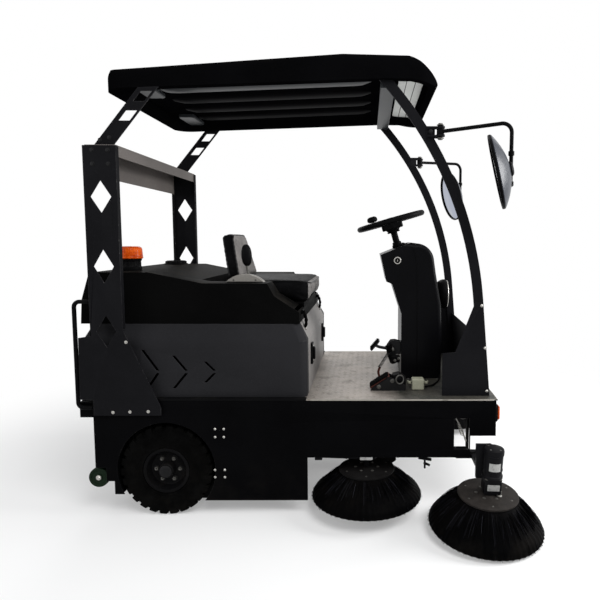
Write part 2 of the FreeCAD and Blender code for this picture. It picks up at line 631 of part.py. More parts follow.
def rear_pillars():
    top, low = "sizes.pillar_top", "sizes.pillar_low"
    waist = "sizes.deck_top + 307"
    outline = [("sizes.pillar_rear", top), ("sizes.pillar_rear", "sizes.deck_top + 280"),
               ("-988", "sizes.deck_top + 272"),
               ("-992", "sizes.deck_top + 2"), ("sizes.pillar_rear", "sizes.deck_top"),
               ("sizes.pillar_rear", low),
               ("-645", low), ("-645", "sizes.deck_top - 30"), ("sizes.pillar_front", waist),
               ("sizes.pillar_front", top)]
    plate = padded("pillar_plate", "XZ_Plane", outline, "sizes.pillar_plate",
                   "sizes.pillar_half - sizes.pillar_plate")
    face = "-(sizes.pillar_half - sizes.pillar_plate)"
    deep = "-(sizes.pillar_half - sizes.pillar_plate) + sizes.pillar_flange"
    front_fold = box("pillar_front_fold", ("sizes.pillar_front - sizes.pillar_plate", face, waist),
                     ("sizes.pillar_front", deep, top))
    rear_fold = box("pillar_rear_fold", ("sizes.pillar_rear", face, waist),
                    ("sizes.pillar_rear + sizes.pillar_plate", deep, top))
    pad = box("pillar_foot_pad", ("sizes.pillar_rear + 12", face, "sizes.pillar_low + 4"),
              ("-657", "-sizes.deck_half", "sizes.deck_top - 14"))
    holes = []
    centre = "(sizes.pillar_rear + sizes.pillar_front) / 2"
    # diamond cut-outs: height of the middle above the deck, half height, half width
    for number, (z, rise, run) in enumerate(((869, 67, 43), (578, 71, 42), (300, 69, 42))):
        high, level, deep_end = ["sizes.deck_top + %d" % h for h in (z + rise, z, z - rise)]
        corners = [(centre, high), (centre + " - %d" % run, level), (centre, deep_end),
                   (centre + " + %d" % run, level)]
        holes.append(padded("diamond_%d" % number, "XZ_Plane", corners, "60", "sizes.pillar_half - 50"))
    solid = fuse("pillar_solid", plate, front_fold, rear_fold, pad)
    right = keep("rear_pillar_right", cut("rear_pillar_right", solid, *holes))
    keep("rear_pillar_left", mirror("rear_pillar_left", right))


def cross_beam():
    half = "sizes.pillar_half - sizes.pillar_plate - 5"
    rear = "sizes.pillar_rear + sizes.pillar_plate + sizes.fit_gap"
    front = "sizes.pillar_front - sizes.pillar_plate - sizes.fit_gap"
    top = "sizes.pillar_top + 4"
    roof = box("beam_roof", (rear, "-(%s)" % half, top + " - 4"), (front, half, top))
    web = box("beam_web", (rear, "-(%s)" % half, top + " - 120"), (rear + " + 4", half, top))
    lip = box("beam_lip", (front + " - 4", "-(%s)" % half, top + " - 48"), (front, half, top))
    keep("cross_beam", fuse("cross_beam", roof, web, lip))


def struts():
    """Upright perforated bars on the cross beam's ends, leaning forward up to the canopy's rim."""
    thick, width, lean = 5.0, 84.0, 0.81
    outer = size("canopy_half")
    foot, head = size("pillar_top") + 4 + size("fit_gap"), size("canopy_rim_front")
    rear = size("pillar_rear") + 19
    plate = slab([(rear, foot), (rear + width, foot), (rear + width + lean * (head - foot), head),
                  (rear + lean * (head - foot), head)], -outer, -outer + thick)
    # diamond holes: height of the middle
    for z in (size("pillar_top") + 132, size("pillar_top") + 212):
        x = rear + width / 2 + 6 + lean * (z - foot)
        plate = plate.cut(slab([(x - 40, z - 21), (x + 7, z - 21), (x + 40, z + 21), (x - 7, z + 21)],
                               -outer - 20, -outer + 20))
    plate = plate.cut(NODES["canopy"].Shape.translated(V(0, 0, -size("fit_gap"))))
    below = min(plate.Solids, key=lambda piece: piece.BoundBox.ZMin)
    right = keep("strut_right", shaped("strut_right", below))
    keep("strut_left", mirror("strut_left", right))


def canopy_arch(x, ridge):
    """Cross-section of the roof at one place: round shoulders, a low crown and straight sides."""
    half = size("canopy_half")
    edge_z, shoulder_y, shoulder_z, floor_z = ridge - 96, half - 44, ridge - 32, ridge - 350
    arch = []
    for side in (1, -1):
        outer, inner = side * half, side * shoulder_y
        bend = V(x, (outer + inner) / 2 + side * 10, (edge_z + shoulder_z) / 2 + 17)
        arch.append((V(x, outer, edge_z), bend, V(x, inner, shoulder_z)))
    (left_low, left_bend, left_top), (right_low, right_bend, right_top) = arch
    corner_left, corner_right = V(x, half, floor_z), V(x, -half, floor_z)
    return Part.Face(Part.Wire([
        Part.LineSegment(corner_left, left_low).toShape(),
        Part.Arc(left_low, left_bend, left_top).toShape(),
        Part.Arc(left_top, V(x, 0, ridge), right_top).toShape(),
        Part.Arc(right_top, right_bend, right_low).toShape(),
        Part.LineSegment(right_low, corner_right).toShape(),
        Part.LineSegment(corner_right, corner_left).toShape()]))


def canopy():
    """Tray-shaped moulding with rounded corners, a rear hip, a rounded nose and a recessed underside."""
    rear, front, half = size("canopy_rear"), size("canopy_front"), size("canopy_half")
    rim, rim_front, top = size("canopy_rim_rear"), size("canopy_rim_front"), size("canopy_top")
    profile = [(rear + 2, rim), (rear, rim + 46), (rear + 44, rim + 84), (rear + 140, top + 6),
               (262, top + 6),
               (462, top - 67, "mid"), (front, rim_front - 4), (front - 8, rim_front - 22), (430, rim_front),
               (300, rim_front)]
    block = slab(profile, -half, half)
    plan = Part.Face(rounded_wire(rear - 0.5, front + 0.5, half, 96, rim - 100)).extrude(V(0, 0, 400))
    block = block.common(plan)
    ridge_x = size("canopy_ridge_x")
    length = front - rear + 2
    for slope in (size("canopy_slope"), -size("canopy_fall")):
        start = canopy_arch(rear - 1, top - slope * (ridge_x - rear + 1))
        block = block.common(start.extrude(V(length, 0, slope * length)))
    wall = size("canopy_wall")
    hollow = Part.Face(rounded_wire(rear + wall, front - wall, half - wall, 60,
                                    rim - 40)).extrude(V(0, 0, 300))
    ceiling = slab([(rear, rim - 60), (rear, rim + 42), (300, rim_front + 48), (front, rim_front + 30),
                    (front, rim - 60)],
                   -half, half)
    block = block.cut(hollow.common(ceiling))
    keep("canopy", shaped("canopy", block))
    inner = size("front_pillar_half") - size("front_pillar_thick") - size("fit_gap")
    bar_solid = Part.makeBox(64, 2 * inner, 26, V(300, -inner, rim_front - 30))
    keep("canopy_bar", shaped("canopy_bar", bar_solid))


def front_pillars():
    """Curved flat bars: straight foot, one long bend, and a stepped gusset plate at the deck."""
    foot_x, foot_z = size("front_pillar_foot_x"), size("deck_top") + size("fit_gap")
    bend_x, bend_z = size("front_pillar_bend_x"), size("front_pillar_bend_z")
    lean = math.atan2(foot_x - bend_x, bend_z - foot_z)
    radius, width = size("front_pillar_radius"), size("front_pillar_width")
    centre_x, centre_z = bend_x - radius * math.cos(lean), bend_z - radius * math.sin(lean)
    head = size("canopy_rim_front") - size("fit_gap")
    finish = math.asin((head - centre_z) / radius)
    inner_finish = math.asin((head - centre_z) / (radius - width))

    def on_arc(r, angle):
        return (centre_x + r * math.cos(angle), centre_z + r * math.sin(angle))

    inner = radius - width
    outline = [(foot_x, foot_z), (bend_x, bend_z), on_arc(radius, (lean + finish) / 2) + ("mid",),
               on_arc(radius, finish), on_arc(inner, inner_finish),
               on_arc(inner, (lean + inner_finish) / 2) + ("mid",), on_arc(inner, lean),
               (foot_x - width, foot_z)]
    outer = size("front_pillar_half")
    post = slab(outline, -outer, -outer + size("front_pillar_thick"))
    deck = size("deck_top")
    plate = slab([(foot_x - 2, foot_z), (bend_x - 2, deck + 421), (722, deck + 421), (637, deck + 197),
                  (580, deck + 192),
                  (580, foot_z)],
                 -outer - 4, -outer)
    swivel = V(size("mirror_post_x"), -outer - 14, size("mirror_post_z"))
    bracket = Part.makeBox(swivel.x - 496, 12, 50, V(496, -outer - 3, swivel.z - 25))
    for low in (13, -21):
        lug = Part.makeCylinder(19, 8, swivel + V(0, 0, low))
        lug = lug.fuse(Part.makeBox(swivel.x - 500, 14, 8, swivel + V(500 - swivel.x, 0, low)))
        bracket = bracket.fuse(lug)
    bracket = bracket.cut(Part.makeBox(60, 60, 26, swivel + V(-22, -30, -13)))
    bracket = bracket.cut(Part.makeCylinder(11 + size("run_gap"), 80, swivel - V(0, 0, 40)))
    right = keep("front_pillar_right", shaped("front_pillar_right", post.fuse(plate).fuse(bracket)))
    keep("front_pillar_left", mirror("front_pillar_left", right))
    half = outer - size("front_pillar_thick") - size("fit_gap")
    slope = (foot_x - bend_x) / (bend_z - foot_z)
    high = deck + 252
    panel = slab([(foot_x - 12, foot_z), (foot_x - 12 - slope * (high - foot_z), high),
                  (foot_x - 16 - slope * (high - foot_z), high), (foot_x - 16, foot_z)], -half, half)
    keep("front_panel", shaped("front_panel", panel))


def grab_rails():
    """Bent tubes down the rear corners, from the pillars to the bumper."""
    tubes = []
    upright, top, low = size("grab_x"), size("grab_top"), size("deck_top") - 38
    pillar, skirt = size("pillar_rear") - size("fit_gap"), size("deck_rear") - 10 - size("fit_gap")
    for side in (-1, 1):
        y = side * size("grab_y")
        run = [V(pillar, y, top), V(upright, y, top), V(upright, y, low), V(skirt, y, low)]
        tubes.append(bent_tube(run, size("grab_radius"), 24))
    keep("grab_rails", shaped("grab_rails", Part.makeCompound(tubes)))


# ---------------------------------------------------------------- steering console

def console():
    half = size("console_half")
    floor = size("deck_top") + size("fit_gap")
    # heights above the foot
    outline = [(415, 0), (415, 326.7), (368, 474.7), (340, 486.7), (311, 618.7), (462, 679.7), (491, 675.7),
               (548, 651.7, "mid"), (576, 599.7), (586, 529.7), (613, 373.7), (618, 247.7), (618, 0)]
    outline = [(point[0], point[1] + floor) + tuple(point[2:]) for point in outline]
    block = slab(outline, -half, half)
    block = block.makeFillet(24, [e for e in block.Edges if lengthwise_front(e, half)])
    rake = math.radians(size("steer_rake"))
    up = V(-math.sin(rake), 0, math.cos(rake))
    hub = V(size("steer_hub_x"), 0, size("steer_hub_z"))
    bore = bar(hub - up * 200, hub, 17.3)
    keep("steering_console", shaped("steering_console", block.cut(bore)))
    tube = bar(hub - up * 199, hub - up * 34.3, 17)
    keep("steering_column", shaped("steering_column", tube))
    lamp = Part.makeCylinder(76, 64, V(602, 0, floor + 412.7), V(1, 0, 0))
    keep("headlight", shaped("headlight", lamp.cut(block)))
    wheel = Part.makeTorus(size("steer_radius"), 14)
    wheel = wheel.fuse(Part.makeCylinder(42, 46, V(0, 0, -34)))
    for angle in (90, 210, 330):
        turn = math.radians(angle)
        tip = V(math.cos(turn), math.sin(turn), 0) * (size("steer_radius") - 4)
        wheel = wheel.fuse(bar(V(0, 0, -6), tip, 10))
    knob_at = V(-88, 140, 0)
    wheel = wheel.fuse(Part.makeCylinder(6, 34,
                                         knob_at)).fuse(Part.makeCylinder(23, 26, knob_at + V(0, 0, 26)))
    spot = FreeCAD.Placement(hub, FreeCAD.Rotation(V(0, 1, 0), -size("steer_rake")))
    keep("steering_wheel", shaped("steering_wheel", wheel, spot))


def lengthwise_front(edge, half):
    """True for the console's long side edges on its nose and top."""
    box_ = edge.BoundBox
    flat = box_.YLength < 0.01 and abs(abs(box_.YMin) - half) < 0.01
    return flat and box_.XMin > 455 and box_.ZMax > size("deck_top") + 180 and box_.ZLength + box_.XLength > 8


def pedals():
    floor = size("deck_top") + size("fit_gap")
    pivot, tread = floor + 149.7, floor + 179.7
    mount = slab([(345, pivot - 30), (414.7, pivot - 30), (414.7, tread), (372, tread)], -140, -80)
    arm = bar(V(360, -150, pivot), V(286, -190, tread), 8)
    mount = mount.fuse(bar(V(366, -110, pivot - 2), V(360, -154, pivot), 12))
    pad = Part.makeBox(10, 76, 62, V(-5, -38, -31))
    pad.Placement = FreeCAD.Placement(V(284, -192, tread), FreeCAD.Rotation(V(0, 1, 0), 40))
    brake = mount.fuse(arm).fuse(pad)
    speed = slab([(252, floor), (430, floor), (345, floor + 72), (262, floor + 14)], -376, -290)
    keep("pedals", shaped("pedals", Part.makeCompound([brake, speed])))


# ---------------------------------------------------------------- wheels

def wheel(prefix, x, y, hub_half):
    """Tyre and rim on one axle line."""
    half = "sizes.tyre_width / 2"
    spot = FreeCAD.Placement(V(x, y, size("tyre_radius")), FreeCAD.Rotation(V(1, 0, 0), 90))
    tread = [("sizes.bead_radius", "-(%s) * 0.8" % half), ("sizes.tyre_radius * 0.74", "-(%s)" % half),
             ("sizes.tyre_radius * 0.92", "-(%s) * 0.97" % half),
             ("sizes.tyre_radius", "-(%s) * 0.74" % half),
             ("sizes.tyre_radius", "(%s) * 0.74" % half), ("sizes.tyre_radius * 0.92", "(%s) * 0.97" % half),
             ("sizes.tyre_radius * 0.74", half), ("sizes.bead_radius", "(%s) * 0.8" % half)]
    keep(prefix + "_tyre", revolved(prefix + "_tyre", tread, spot))
    seat_radius = "sizes.bead_radius - sizes.fit_gap"
    bore = "sizes.axle_radius + sizes.run_gap"
    rim = [(bore, "-%g" % hub_half), ("30", "-%g" % hub_half), ("34", "-8"), (seat_radius + " - 14", "-8"),
           (seat_radius + " - 14", "-40"), (seat_radius, "-40"), (seat_radius, "40"),
           (seat_radius + " - 14", "40"),
           (seat_radius + " - 14", "8"), ("34", "8"), ("30", "%g" % hub_half), (bore, "%g" % hub_half)]
    keep(prefix + "_rim", revolved(prefix + "_rim", rim, spot))


def wheels():
    wheel("front_wheel", size("front_wheel_x"), 0, 52)
    wheel("rear_wheel_right", size("rear_axle_x"), -size("rear_wheel_y"), 50)
    wheel("rear_wheel_left", size("rear_axle_x"), size("rear_wheel_y"), 50)
    x, z, y = size("rear_axle_x"), size("tyre_radius"), size("rail_outer")
    low = size("deck_top") - size("deck_plate_thick") - size("rail_depth")
    stubs = []
    for side in (-1, 1):
        inner, outer = sorted((side * (y - 15), side * y))
        plate = Part.makeBox(110, outer - inner, low - z + 45, V(x - 55, inner, z - 45))
        outward = V(0, side, 0)
        collar = Part.makeCylinder(22, size("rear_wheel_y") - 50 - 5 - y, V(x, side * y, z), outward)
        shaft = Part.makeCylinder(size("axle_radius"), size("rear_wheel_y") + 44 - y, V(x, side * y, z),
                                  outward)
        stubs.append(plate.fuse(collar).fuse(shaft))
    keep("rear_stub_axles", shaped("rear_stub_axles", Part.makeCompound(stubs)))


def fork():
    x, radius = size("front_wheel_x"), size("tyre_radius")
    half = size("tyre_width") / 2 + 10
    low = size("deck_top") - size("deck_plate_thick") - size("rail_depth")
    crown = Part.makeBox(110, 2 * half + 30, 20, V(x - 55, -half - 15, low - 25))
    solid = crown.fuse(Part.makeCylinder(20, 50, V(x, 0, low - 6)))
    solid = solid.fuse(Part.makeCylinder(34, 4, V(x, 0, low - 5.3)))
    for side in (-1, 1):
        inner = min(side * half, side * (half + 15))
        solid = solid.fuse(Part.makeBox(60, 15, low - 25 - radius + 30, V(x - 30, inner, radius - 30)))
    solid = solid.fuse(Part.makeCylinder(size("axle_radius"), 2 * half + 30, V(x, -half - 15, radius),
                                         V(0, 1, 0)))
    keep("front_fork", shaped("front_fork", solid))


# ---------------------------------------------------------------- brushes and hopper

def brush_outline(radius, rise):
    """Half outline of a side brush: hub, disc and a splayed bristle skirt, tips at height 0."""
    bore = "10 + sizes.run_gap"
    disc = "sizes.brush_disc_radius"
    return [(bore, rise + " - 8"), ("70", rise + " - 8"), (disc + " - 22", rise + " - 16"),
            (radius + " - 34", "0"),
            (radius, "0"), (radius, "12"), (radius + " - 8", "25"), (disc + " + 3", rise + " - 6"),
            (disc, rise + " + 3"), ("38", rise + " + 5"), ("34", rise + " + 9"), (bore, rise + " + 9")]


def middle_brushes():
    x, y, lift = size("mid_brush_x"), -size("mid_brush_y"), size("mid_brush_lift")
    spot = FreeCAD.Placement(V(x, y, lift), FreeCAD.Rotation())
    outline = brush_outline("sizes.mid_brush_radius", "sizes.mid_brush_rise")
    right = keep("middle_brush_right", revolved("middle_brush_right", outline, spot))
    keep("middle_brush_left", mirror("middle_brush_left", right))
    guide_x, spread, radius = size("mid_guide_x"), size("mid_guide_spread"), size("mid_guide_radius")
    disc_z = lift + size("mid_brush_rise")
    plate_z = disc_z + 52
    foot_low, foot_high = size("mid_guide_low") - 64, size("mid_guide_low") - 28
    arm = Part.makeBox(32, 60, foot_high - foot_low, V(guide_x - 16, y - 30, foot_low))
    for side in (-1, 1):
        arm = arm.fuse(Part.makeCylinder(radius, size("mid_guide_high") + 80 - foot_low,
                                         V(guide_x, y + side * spread, foot_low)))
    arm = arm.fuse(slab([(guide_x, foot_low + 8), (x - 20, plate_z - 4), (x - 20, plate_z + 6),
                         (guide_x, foot_high - 6)],
                        y - 22, y + 22))
    arm = arm.fuse(Part.makeCylinder(46, 8, V(x, y, plate_z - 2)))
    arm = arm.fuse(Part.makeCylinder(size("motor_radius"), 46, V(x, y, plate_z + 6)))
    arm = arm.fuse(Part.makeCylinder(size("motor_radius") - 3, 110, V(x, y, plate_z + 52)))
    arm = arm.fuse(Part.makeCylinder(10, plate_z - disc_z + 6, V(x, y, disc_z - 6)))
    arm_right = keep("middle_arm_right", shaped("middle_arm_right", arm))
    keep("middle_arm_left", mirror("middle_arm_left", arm_right))


def front_brushes():
    outward = math.tan(math.radians(size("front_brush_tilt")))
    ahead = math.tan(math.radians(size("front_brush_lean")))
    drop = size("front_brush_radius") * math.sin(math.atan(math.hypot(outward, ahead)))
    tips = V(size("front_brush_x"), -size("front_brush_y"), size("front_brush_low") + drop)
    spot = FreeCAD.Placement(tips, FreeCAD.Rotation(V(0, 0, 1), V(ahead, -outward, 1)))
    outline = brush_outline("sizes.front_brush_radius", "sizes.front_brush_rise")
    right = keep("front_brush_right", revolved("front_brush_right", outline, spot))
    keep("front_brush_left", mirror("front_brush_left", right))
    rise, radius = size("front_brush_rise"), size("motor_radius")
    gear_low, gear_high, cap, offset = rise + 14, rise + 78, rise + 195, 10
    motor = Part.makeBox(68, 68, gear_high - gear_low, V(offset - 34, -34, gear_low))
    motor = motor.fuse(Part.makeCylinder(radius, cap - gear_high, V(offset, 0, gear_high)))
    motor = motor.fuse(Part.makeCylinder(10, 30, V(0, 0, rise - 6)))
    motor.Placement = spot
    # the arm runs out below the skirt's nose, from a hinge hidden behind the skirt
    pivot = V(size("front_pivot_x"), -size("front_pivot_y"), size("front_pivot_z"))
    inner_face = tips.y - outward * (gear_low + 32) + 34
    knuckle = Part.makeCylinder(13, 66, pivot - V(33, 0, 0), V(1, 0, 0))
    web = Part.makeBox(50, 80, 18, V(pivot.x - 25, pivot.y - 80, pivot.z - 10))
    shelf = Part.makeBox(118, 59, 18, V(pivot.x - 25, pivot.y - 80, pivot.z - 10))
    reach = Part.makeBox(49, pivot.y - 60 - inner_face + 2, 18, V(pivot.x + 44, inner_face - 2, pivot.z - 10))
    plate = Part.makeBox(65, 17, 143, V(pivot.x + 35, inner_face - 5, pivot.z - 35))
    arm = knuckle.fuse([web, shelf, reach, plate, motor])
    arm = arm.cut(Part.makeCylinder(6 + size("run_gap"), 100, pivot - V(50, 0, 0), V(1, 0, 0)))
    arm_right = keep("front_arm_right", shaped("front_arm_right", arm))
    keep("front_arm_left", mirror("front_arm_left", arm_right))


def main_roller():
    half = size("broom_half")
    spot = FreeCAD.Placement(V(size("broom_x"), 0, size("broom_z")), FreeCAD.Rotation(V(1, 0, 0), 90))
    corners = [("0", "-sizes.broom_half - 22"), ("15", "-sizes.broom_half - 22"), ("15", "-sizes.broom_half"),
               ("sizes.broom_radius", "-sizes.broom_half"), ("sizes.broom_radius", "sizes.broom_half"),
               ("15", "sizes.broom_half"), ("15", "sizes.broom_half + 22"), ("0", "sizes.broom_half + 22")]
    keep("main_roller", revolved("main_roller", corners, spot))


def hopper():
    """Open-fronted dust bin on runners under the rails, with a pull handle and brackets for its rollers."""
    rear, front, half = size("hopper_rear"), size("hopper_front"), size("hopper_half")
    low, high, wall = size("hopper_low"), size("hopper_high"), 5.0
    outer = Part.makeBox(front - rear, 2 * half, high - low, V(rear, -half, low))
    inner = Part.makeBox(front - rear, 2 * (half - wall), high - low - 2 * wall,
                         V(rear + wall, -half + wall, low + wall))
    solid = outer.cut(inner)
    runner_low = size("deck_top") - size("deck_plate_thick") - size("rail_depth") - size("fit_gap")
    for side in (-1, 1):
        edge = min(side * (half - 30), side * half)
        solid = solid.fuse(Part.makeBox(front - rear, 30, runner_low - high, V(rear, edge, high)))
    roller_y = size("deck_half") - 24
    tail_low, tail_high = low + 95, high - 5
    tail = Part.makeBox(6, 2 * roller_y + 2, tail_high - tail_low, V(rear - 12, -roller_y - 1, tail_low))
    link = Part.makeBox(7, 2 * half, tail_high - tail_low, V(rear - 7, -half, tail_low))
    solid = solid.fuse(tail).fuse(link)
    for side in (-1, 1):
        y0 = min(side * (roller_y - 25), side * (roller_y - 17))
        bracket = Part.makeBox(44, 8, 112, V(rear - 31, y0, size("roller_z") - 14))
        axle = Part.makeCylinder(6, 42, V(size("roller_x"), side * (roller_y - 25), size("roller_z")),
                                 V(0, side, 0))
        solid = solid.fuse(bracket).fuse(axle)
    grip_z = high - 100
    grip = bent_tube([V(rear - 12, -120, grip_z), V(rear - 52, -120, grip_z), V(rear - 52, 120, grip_z),
                      V(rear - 12, 120, grip_z)], 8, 20)
    keep("dust_hopper", shaped("dust_hopper", solid.fuse(grip)))
    for side, name in ((-1, "right"), (1, "left")):
        spot = FreeCAD.Placement(V(size("roller_x"), side * roller_y, size("roller_z")),
                                 FreeCAD.Rotation(V(1, 0, 0), 90))
        corners = [("6 + sizes.run_gap", "-14"), ("sizes.roller_radius - 4", "-14"),
                   ("sizes.roller_radius", "-10"),
                   ("sizes.roller_radius", "10"), ("sizes.roller_radius - 4", "14"),
                   ("6 + sizes.run_gap", "14")]
        keep("hopper_roller_" + name, revolved("hopper_roller_" + name, corners, spot))


# ---------------------------------------------------------------- mirrors

def mirrors():
    """Round domed mirrors on bent arms that swivel on posts bracketed to the front pillars."""
    radius, dome_radius = size("mirror_radius"), 252.0
    height = dome_radius - math.sqrt(dome_radius ** 2 - radius ** 2)
    for name, side in (("right", -1), ("left", 1)):
        post = V(size("mirror_post_x"), side * (size("front_pillar_half") + 14), size("mirror_post_z"))
        elbow = V(size("mirror_elbow_x"), side * size("mirror_elbow_y"), size("mirror_elbow_z"))
        arm = bent_tube([post, elbow, elbow + V(0, 0, -256)], 8, 40)
        arm = arm.fuse(Part.makeCylinder(11, 52, post - V(0, 0, 26)))
        centre = V(size("mirror_centre_x"), side * size("mirror_elbow_y"), size("mirror_centre_z"))
        tilt = math.radians(size("mirror_tilt"))
        heading = FreeCAD.Rotation(V(0, 0, 1), side * size("mirror_heading"))
        facing = heading.multVec(V(-math.cos(tilt), 0, -math.sin(tilt)))
        rim = Part.makeCylinder(radius, 8, centre, facing)
        ball = Part.makeSphere(dome_radius, centre + facing * (dome_radius - height))
        cap = ball.common(Part.makeCylinder(radius, height + 2, centre, facing * -1))
        head = rim.fuse(cap)
        keep("mirror_arm_" + name, shaped("mirror_arm_" + name, arm.cut(head)))
        keep("mirror_head_" + name, shaped("mirror_head_" + name, head))


# ---------------------------------------------------------------- build, check, export

def check():
    DOC.recompute()
    for item in DOC.Objects:
        if "Invalid" in item.State or "Error" in item.State:
            raise RuntimeError("%s failed: %s" % (item.Name, item.State))
    for node, item in NODES.items():
        shape = item.Shape
        if shape.isNull() or not shape.isValid() or not shape.Solids:
            raise RuntimeError("bad shape in " + node)


def main():
    fill_sheet()
    for make in (chassis, deck, skirts, tow_plate, body_panels, hood, seat, beacon, rear_pillars,
                 cross_beam, canopy,
                 struts, front_pillars, grab_rails, console, pedals, wheels, fork, middle_brushes,
                 front_brushes,
                 main_roller, hopper, mirrors):
        make()
        DOC.recompute()
    check()
    os.makedirs("parts", exist_ok=True)
    for node, item in NODES.items():
        item.Shape.exportStep("parts/%s.step" % node)
    print("%d nodes" % len(NODES))


main()
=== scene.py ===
"""Looks of the ride-on sweeping machine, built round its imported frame.

Metres, +X forward, +Y to the driver's left, +Z up, the floor at Z = 0.
"""

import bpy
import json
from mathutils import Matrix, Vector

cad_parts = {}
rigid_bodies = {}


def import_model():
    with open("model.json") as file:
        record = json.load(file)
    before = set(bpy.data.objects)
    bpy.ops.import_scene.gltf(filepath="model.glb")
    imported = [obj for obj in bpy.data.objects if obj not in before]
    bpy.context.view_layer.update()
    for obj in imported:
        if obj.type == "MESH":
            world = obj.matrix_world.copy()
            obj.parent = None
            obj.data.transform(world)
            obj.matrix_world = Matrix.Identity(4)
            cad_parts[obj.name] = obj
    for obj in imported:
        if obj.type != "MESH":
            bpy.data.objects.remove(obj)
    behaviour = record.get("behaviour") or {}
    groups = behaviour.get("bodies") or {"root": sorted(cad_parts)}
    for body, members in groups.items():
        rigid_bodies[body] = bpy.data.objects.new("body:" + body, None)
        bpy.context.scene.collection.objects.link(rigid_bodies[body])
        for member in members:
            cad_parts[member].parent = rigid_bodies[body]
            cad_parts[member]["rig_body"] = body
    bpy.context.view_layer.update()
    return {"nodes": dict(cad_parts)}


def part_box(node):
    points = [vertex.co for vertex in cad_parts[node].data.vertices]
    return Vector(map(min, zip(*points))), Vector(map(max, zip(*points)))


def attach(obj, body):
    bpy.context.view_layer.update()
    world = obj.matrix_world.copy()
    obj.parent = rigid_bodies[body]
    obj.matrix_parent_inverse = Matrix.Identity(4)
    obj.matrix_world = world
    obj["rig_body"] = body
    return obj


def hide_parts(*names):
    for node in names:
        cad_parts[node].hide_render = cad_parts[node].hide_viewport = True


bl_info = {
    "name": "Sweeping machine",
    "version": (1, 0, 0),
    "blender": (4, 5, 0),
    "location": "3D View > Sidebar > Sweeper",
    "description": "Finishes and fittings of a ride-on sweeping machine",
    "category": "Object",
}

import json
import math

import bmesh
import bpy
import numpy as np
from mathutils import Matrix, Vector

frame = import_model()
NODES = frame["nodes"]
TURN = 2 * math.pi
AHEAD, LEFT, RIGHT, UP = (1, 0, 0), (0, 1, 0), (0, -1, 0), (0, 0, 1)


def screen(red, green, blue):
    """Linear colour of a screen colour given from 0 to 255: the usual screen curve, undone."""
    part = np.array((red, green, blue)) / 255
    return tuple(float(v) for v in np.where(part <= 0.04045, part / 12.92, ((part + 0.055) / 1.055) ** 2.4))


def colour_of(name, words, *tone):
    return bpy.props.FloatVectorProperty(name=name, description=words, default=screen(*tone), subtype="COLOR",
                                         size=3, min=0, max=1)


def length_of(name, words, value):
    return bpy.props.FloatProperty(name=name, description=words, default=value, min=0, unit="LENGTH",
                                   subtype="DISTANCE", precision=4)


class SweeperColours(bpy.types.PropertyGroup):
    """Colours of the machine's finishes."""
    skirt: colour_of("Skirt", "Powder coat on the skirts, fascia and rails", 6, 6, 7)
    body: colour_of("Body", "Textured grey paint on the housing", 33, 33, 35)
    # the housing's front: the grey of its sides painted paler as lit from the front, a painted highlight
    front: colour_of("Housing front", "Paler grey paint on the housing's front", 110, 107, 105)
    pillar: colour_of("Pillar", "Satin paint on the pillars, struts and gussets", 20, 20, 22)
    beam: colour_of("Beam", "Taupe paint on the cross beam", 100, 95, 92)
    hood: colour_of("Hood", "Grained plastic of the hood", 8, 8, 8)
    canopy: colour_of("Canopy", "Moulded plastic of the canopy", 7, 7, 8)
    deck: colour_of("Deck", "Worn steel of the deck", 128, 121, 114)
    console: colour_of("Console", "Moulded plastic of the steering console", 9, 9, 11)
    vinyl: colour_of("Vinyl", "Black vinyl of the seat's sides", 11, 11, 12)
    # the seat's front faces: its black vinyl painted grey as lit from the front, a painted highlight
    vinyl_lit_front: colour_of("Grey vinyl", "Grey vinyl of the seat's front", 116, 113, 111)
    rubber: colour_of("Rubber", "Tyres, latches and grips", 6, 6, 6)
    rim: colour_of("Rim", "Paint on the wheel rims", 9, 9, 10)
    bristle: colour_of("Bristle", "Side brushes' bristles", 4, 4, 5)
    disc: colour_of("Disc", "Side brushes' discs", 40, 37, 35)
    roller: colour_of("Roller", "Hopper's small rollers", 20, 34, 22)
    amber: colour_of("Amber", "Beacon and marker lights", 196, 66, 8)
    zinc: colour_of("Zinc", "Bolts and small steel parts", 172, 170, 165)
    label: colour_of("Label", "Blank plates on the brush motors", 150, 150, 148)
    motor: colour_of("Motor", "Paint on the brush motors", 17, 17, 19)


class SweeperSizes(bpy.types.PropertyGroup):
    """Sizes of the fittings that the frame leaves open."""
    tread: length_of("Tread", "Depth of the tyres' tread", 0.01)
    strand: length_of("Strand", "Thickness of a bristle at its root", 0.0024)
    strands: bpy.props.IntProperty(name="Strands", description="Bristles shown on each side brush",
                                   default=760, min=50, max=2000)
    bolt: length_of("Bolt", "Radius of an ordinary bolt's head", 0.0085)
    piping: length_of("Piping", "Radius of the seat's piping", 0.0035)
    lozenge: length_of("Lozenge", "Length of a raised lozenge on the deck", 0.023)
    fold: length_of("Fold", "Rounding of folded sheet metal", 0.0022)
    moulding: length_of("Moulding", "Rounding of the hood's edges", 0.011)


def colours():
    return bpy.context.scene.sweeper_colours


def sizes():
    return bpy.context.scene.sweeper_sizes


# ---------------------------------------------------------------- finishes

class Wire:
    """A shader socket that takes part in sums: each operator adds its Math node."""

    def __init__(self, owner, socket):
        self.owner, self.socket = owner, socket

    def sum_with(self, kind, first, second, clamp=False):
        settings = {"operation": kind, "use_clamp": clamp}
        return self.owner.node("Math", settings, {0: first, 1: second})

    def __add__(self, other):
        return self.sum_with("ADD", self, other)

    __radd__ = __add__

    def __sub__(self, other):
        return self.sum_with("SUBTRACT", self, other)

    def __rsub__(self, other):
        return self.sum_with("SUBTRACT", other, self)

    def __mul__(self, other):
        return self.sum_with("MULTIPLY", self, other)

    __rmul__ = __mul__

    def __pow__(self, other):
        return self.sum_with("POWER", self, other)

    def held(self):
        """The value kept from 0 to 1."""
        return self.sum_with("ADD", self, 0.0, clamp=True)


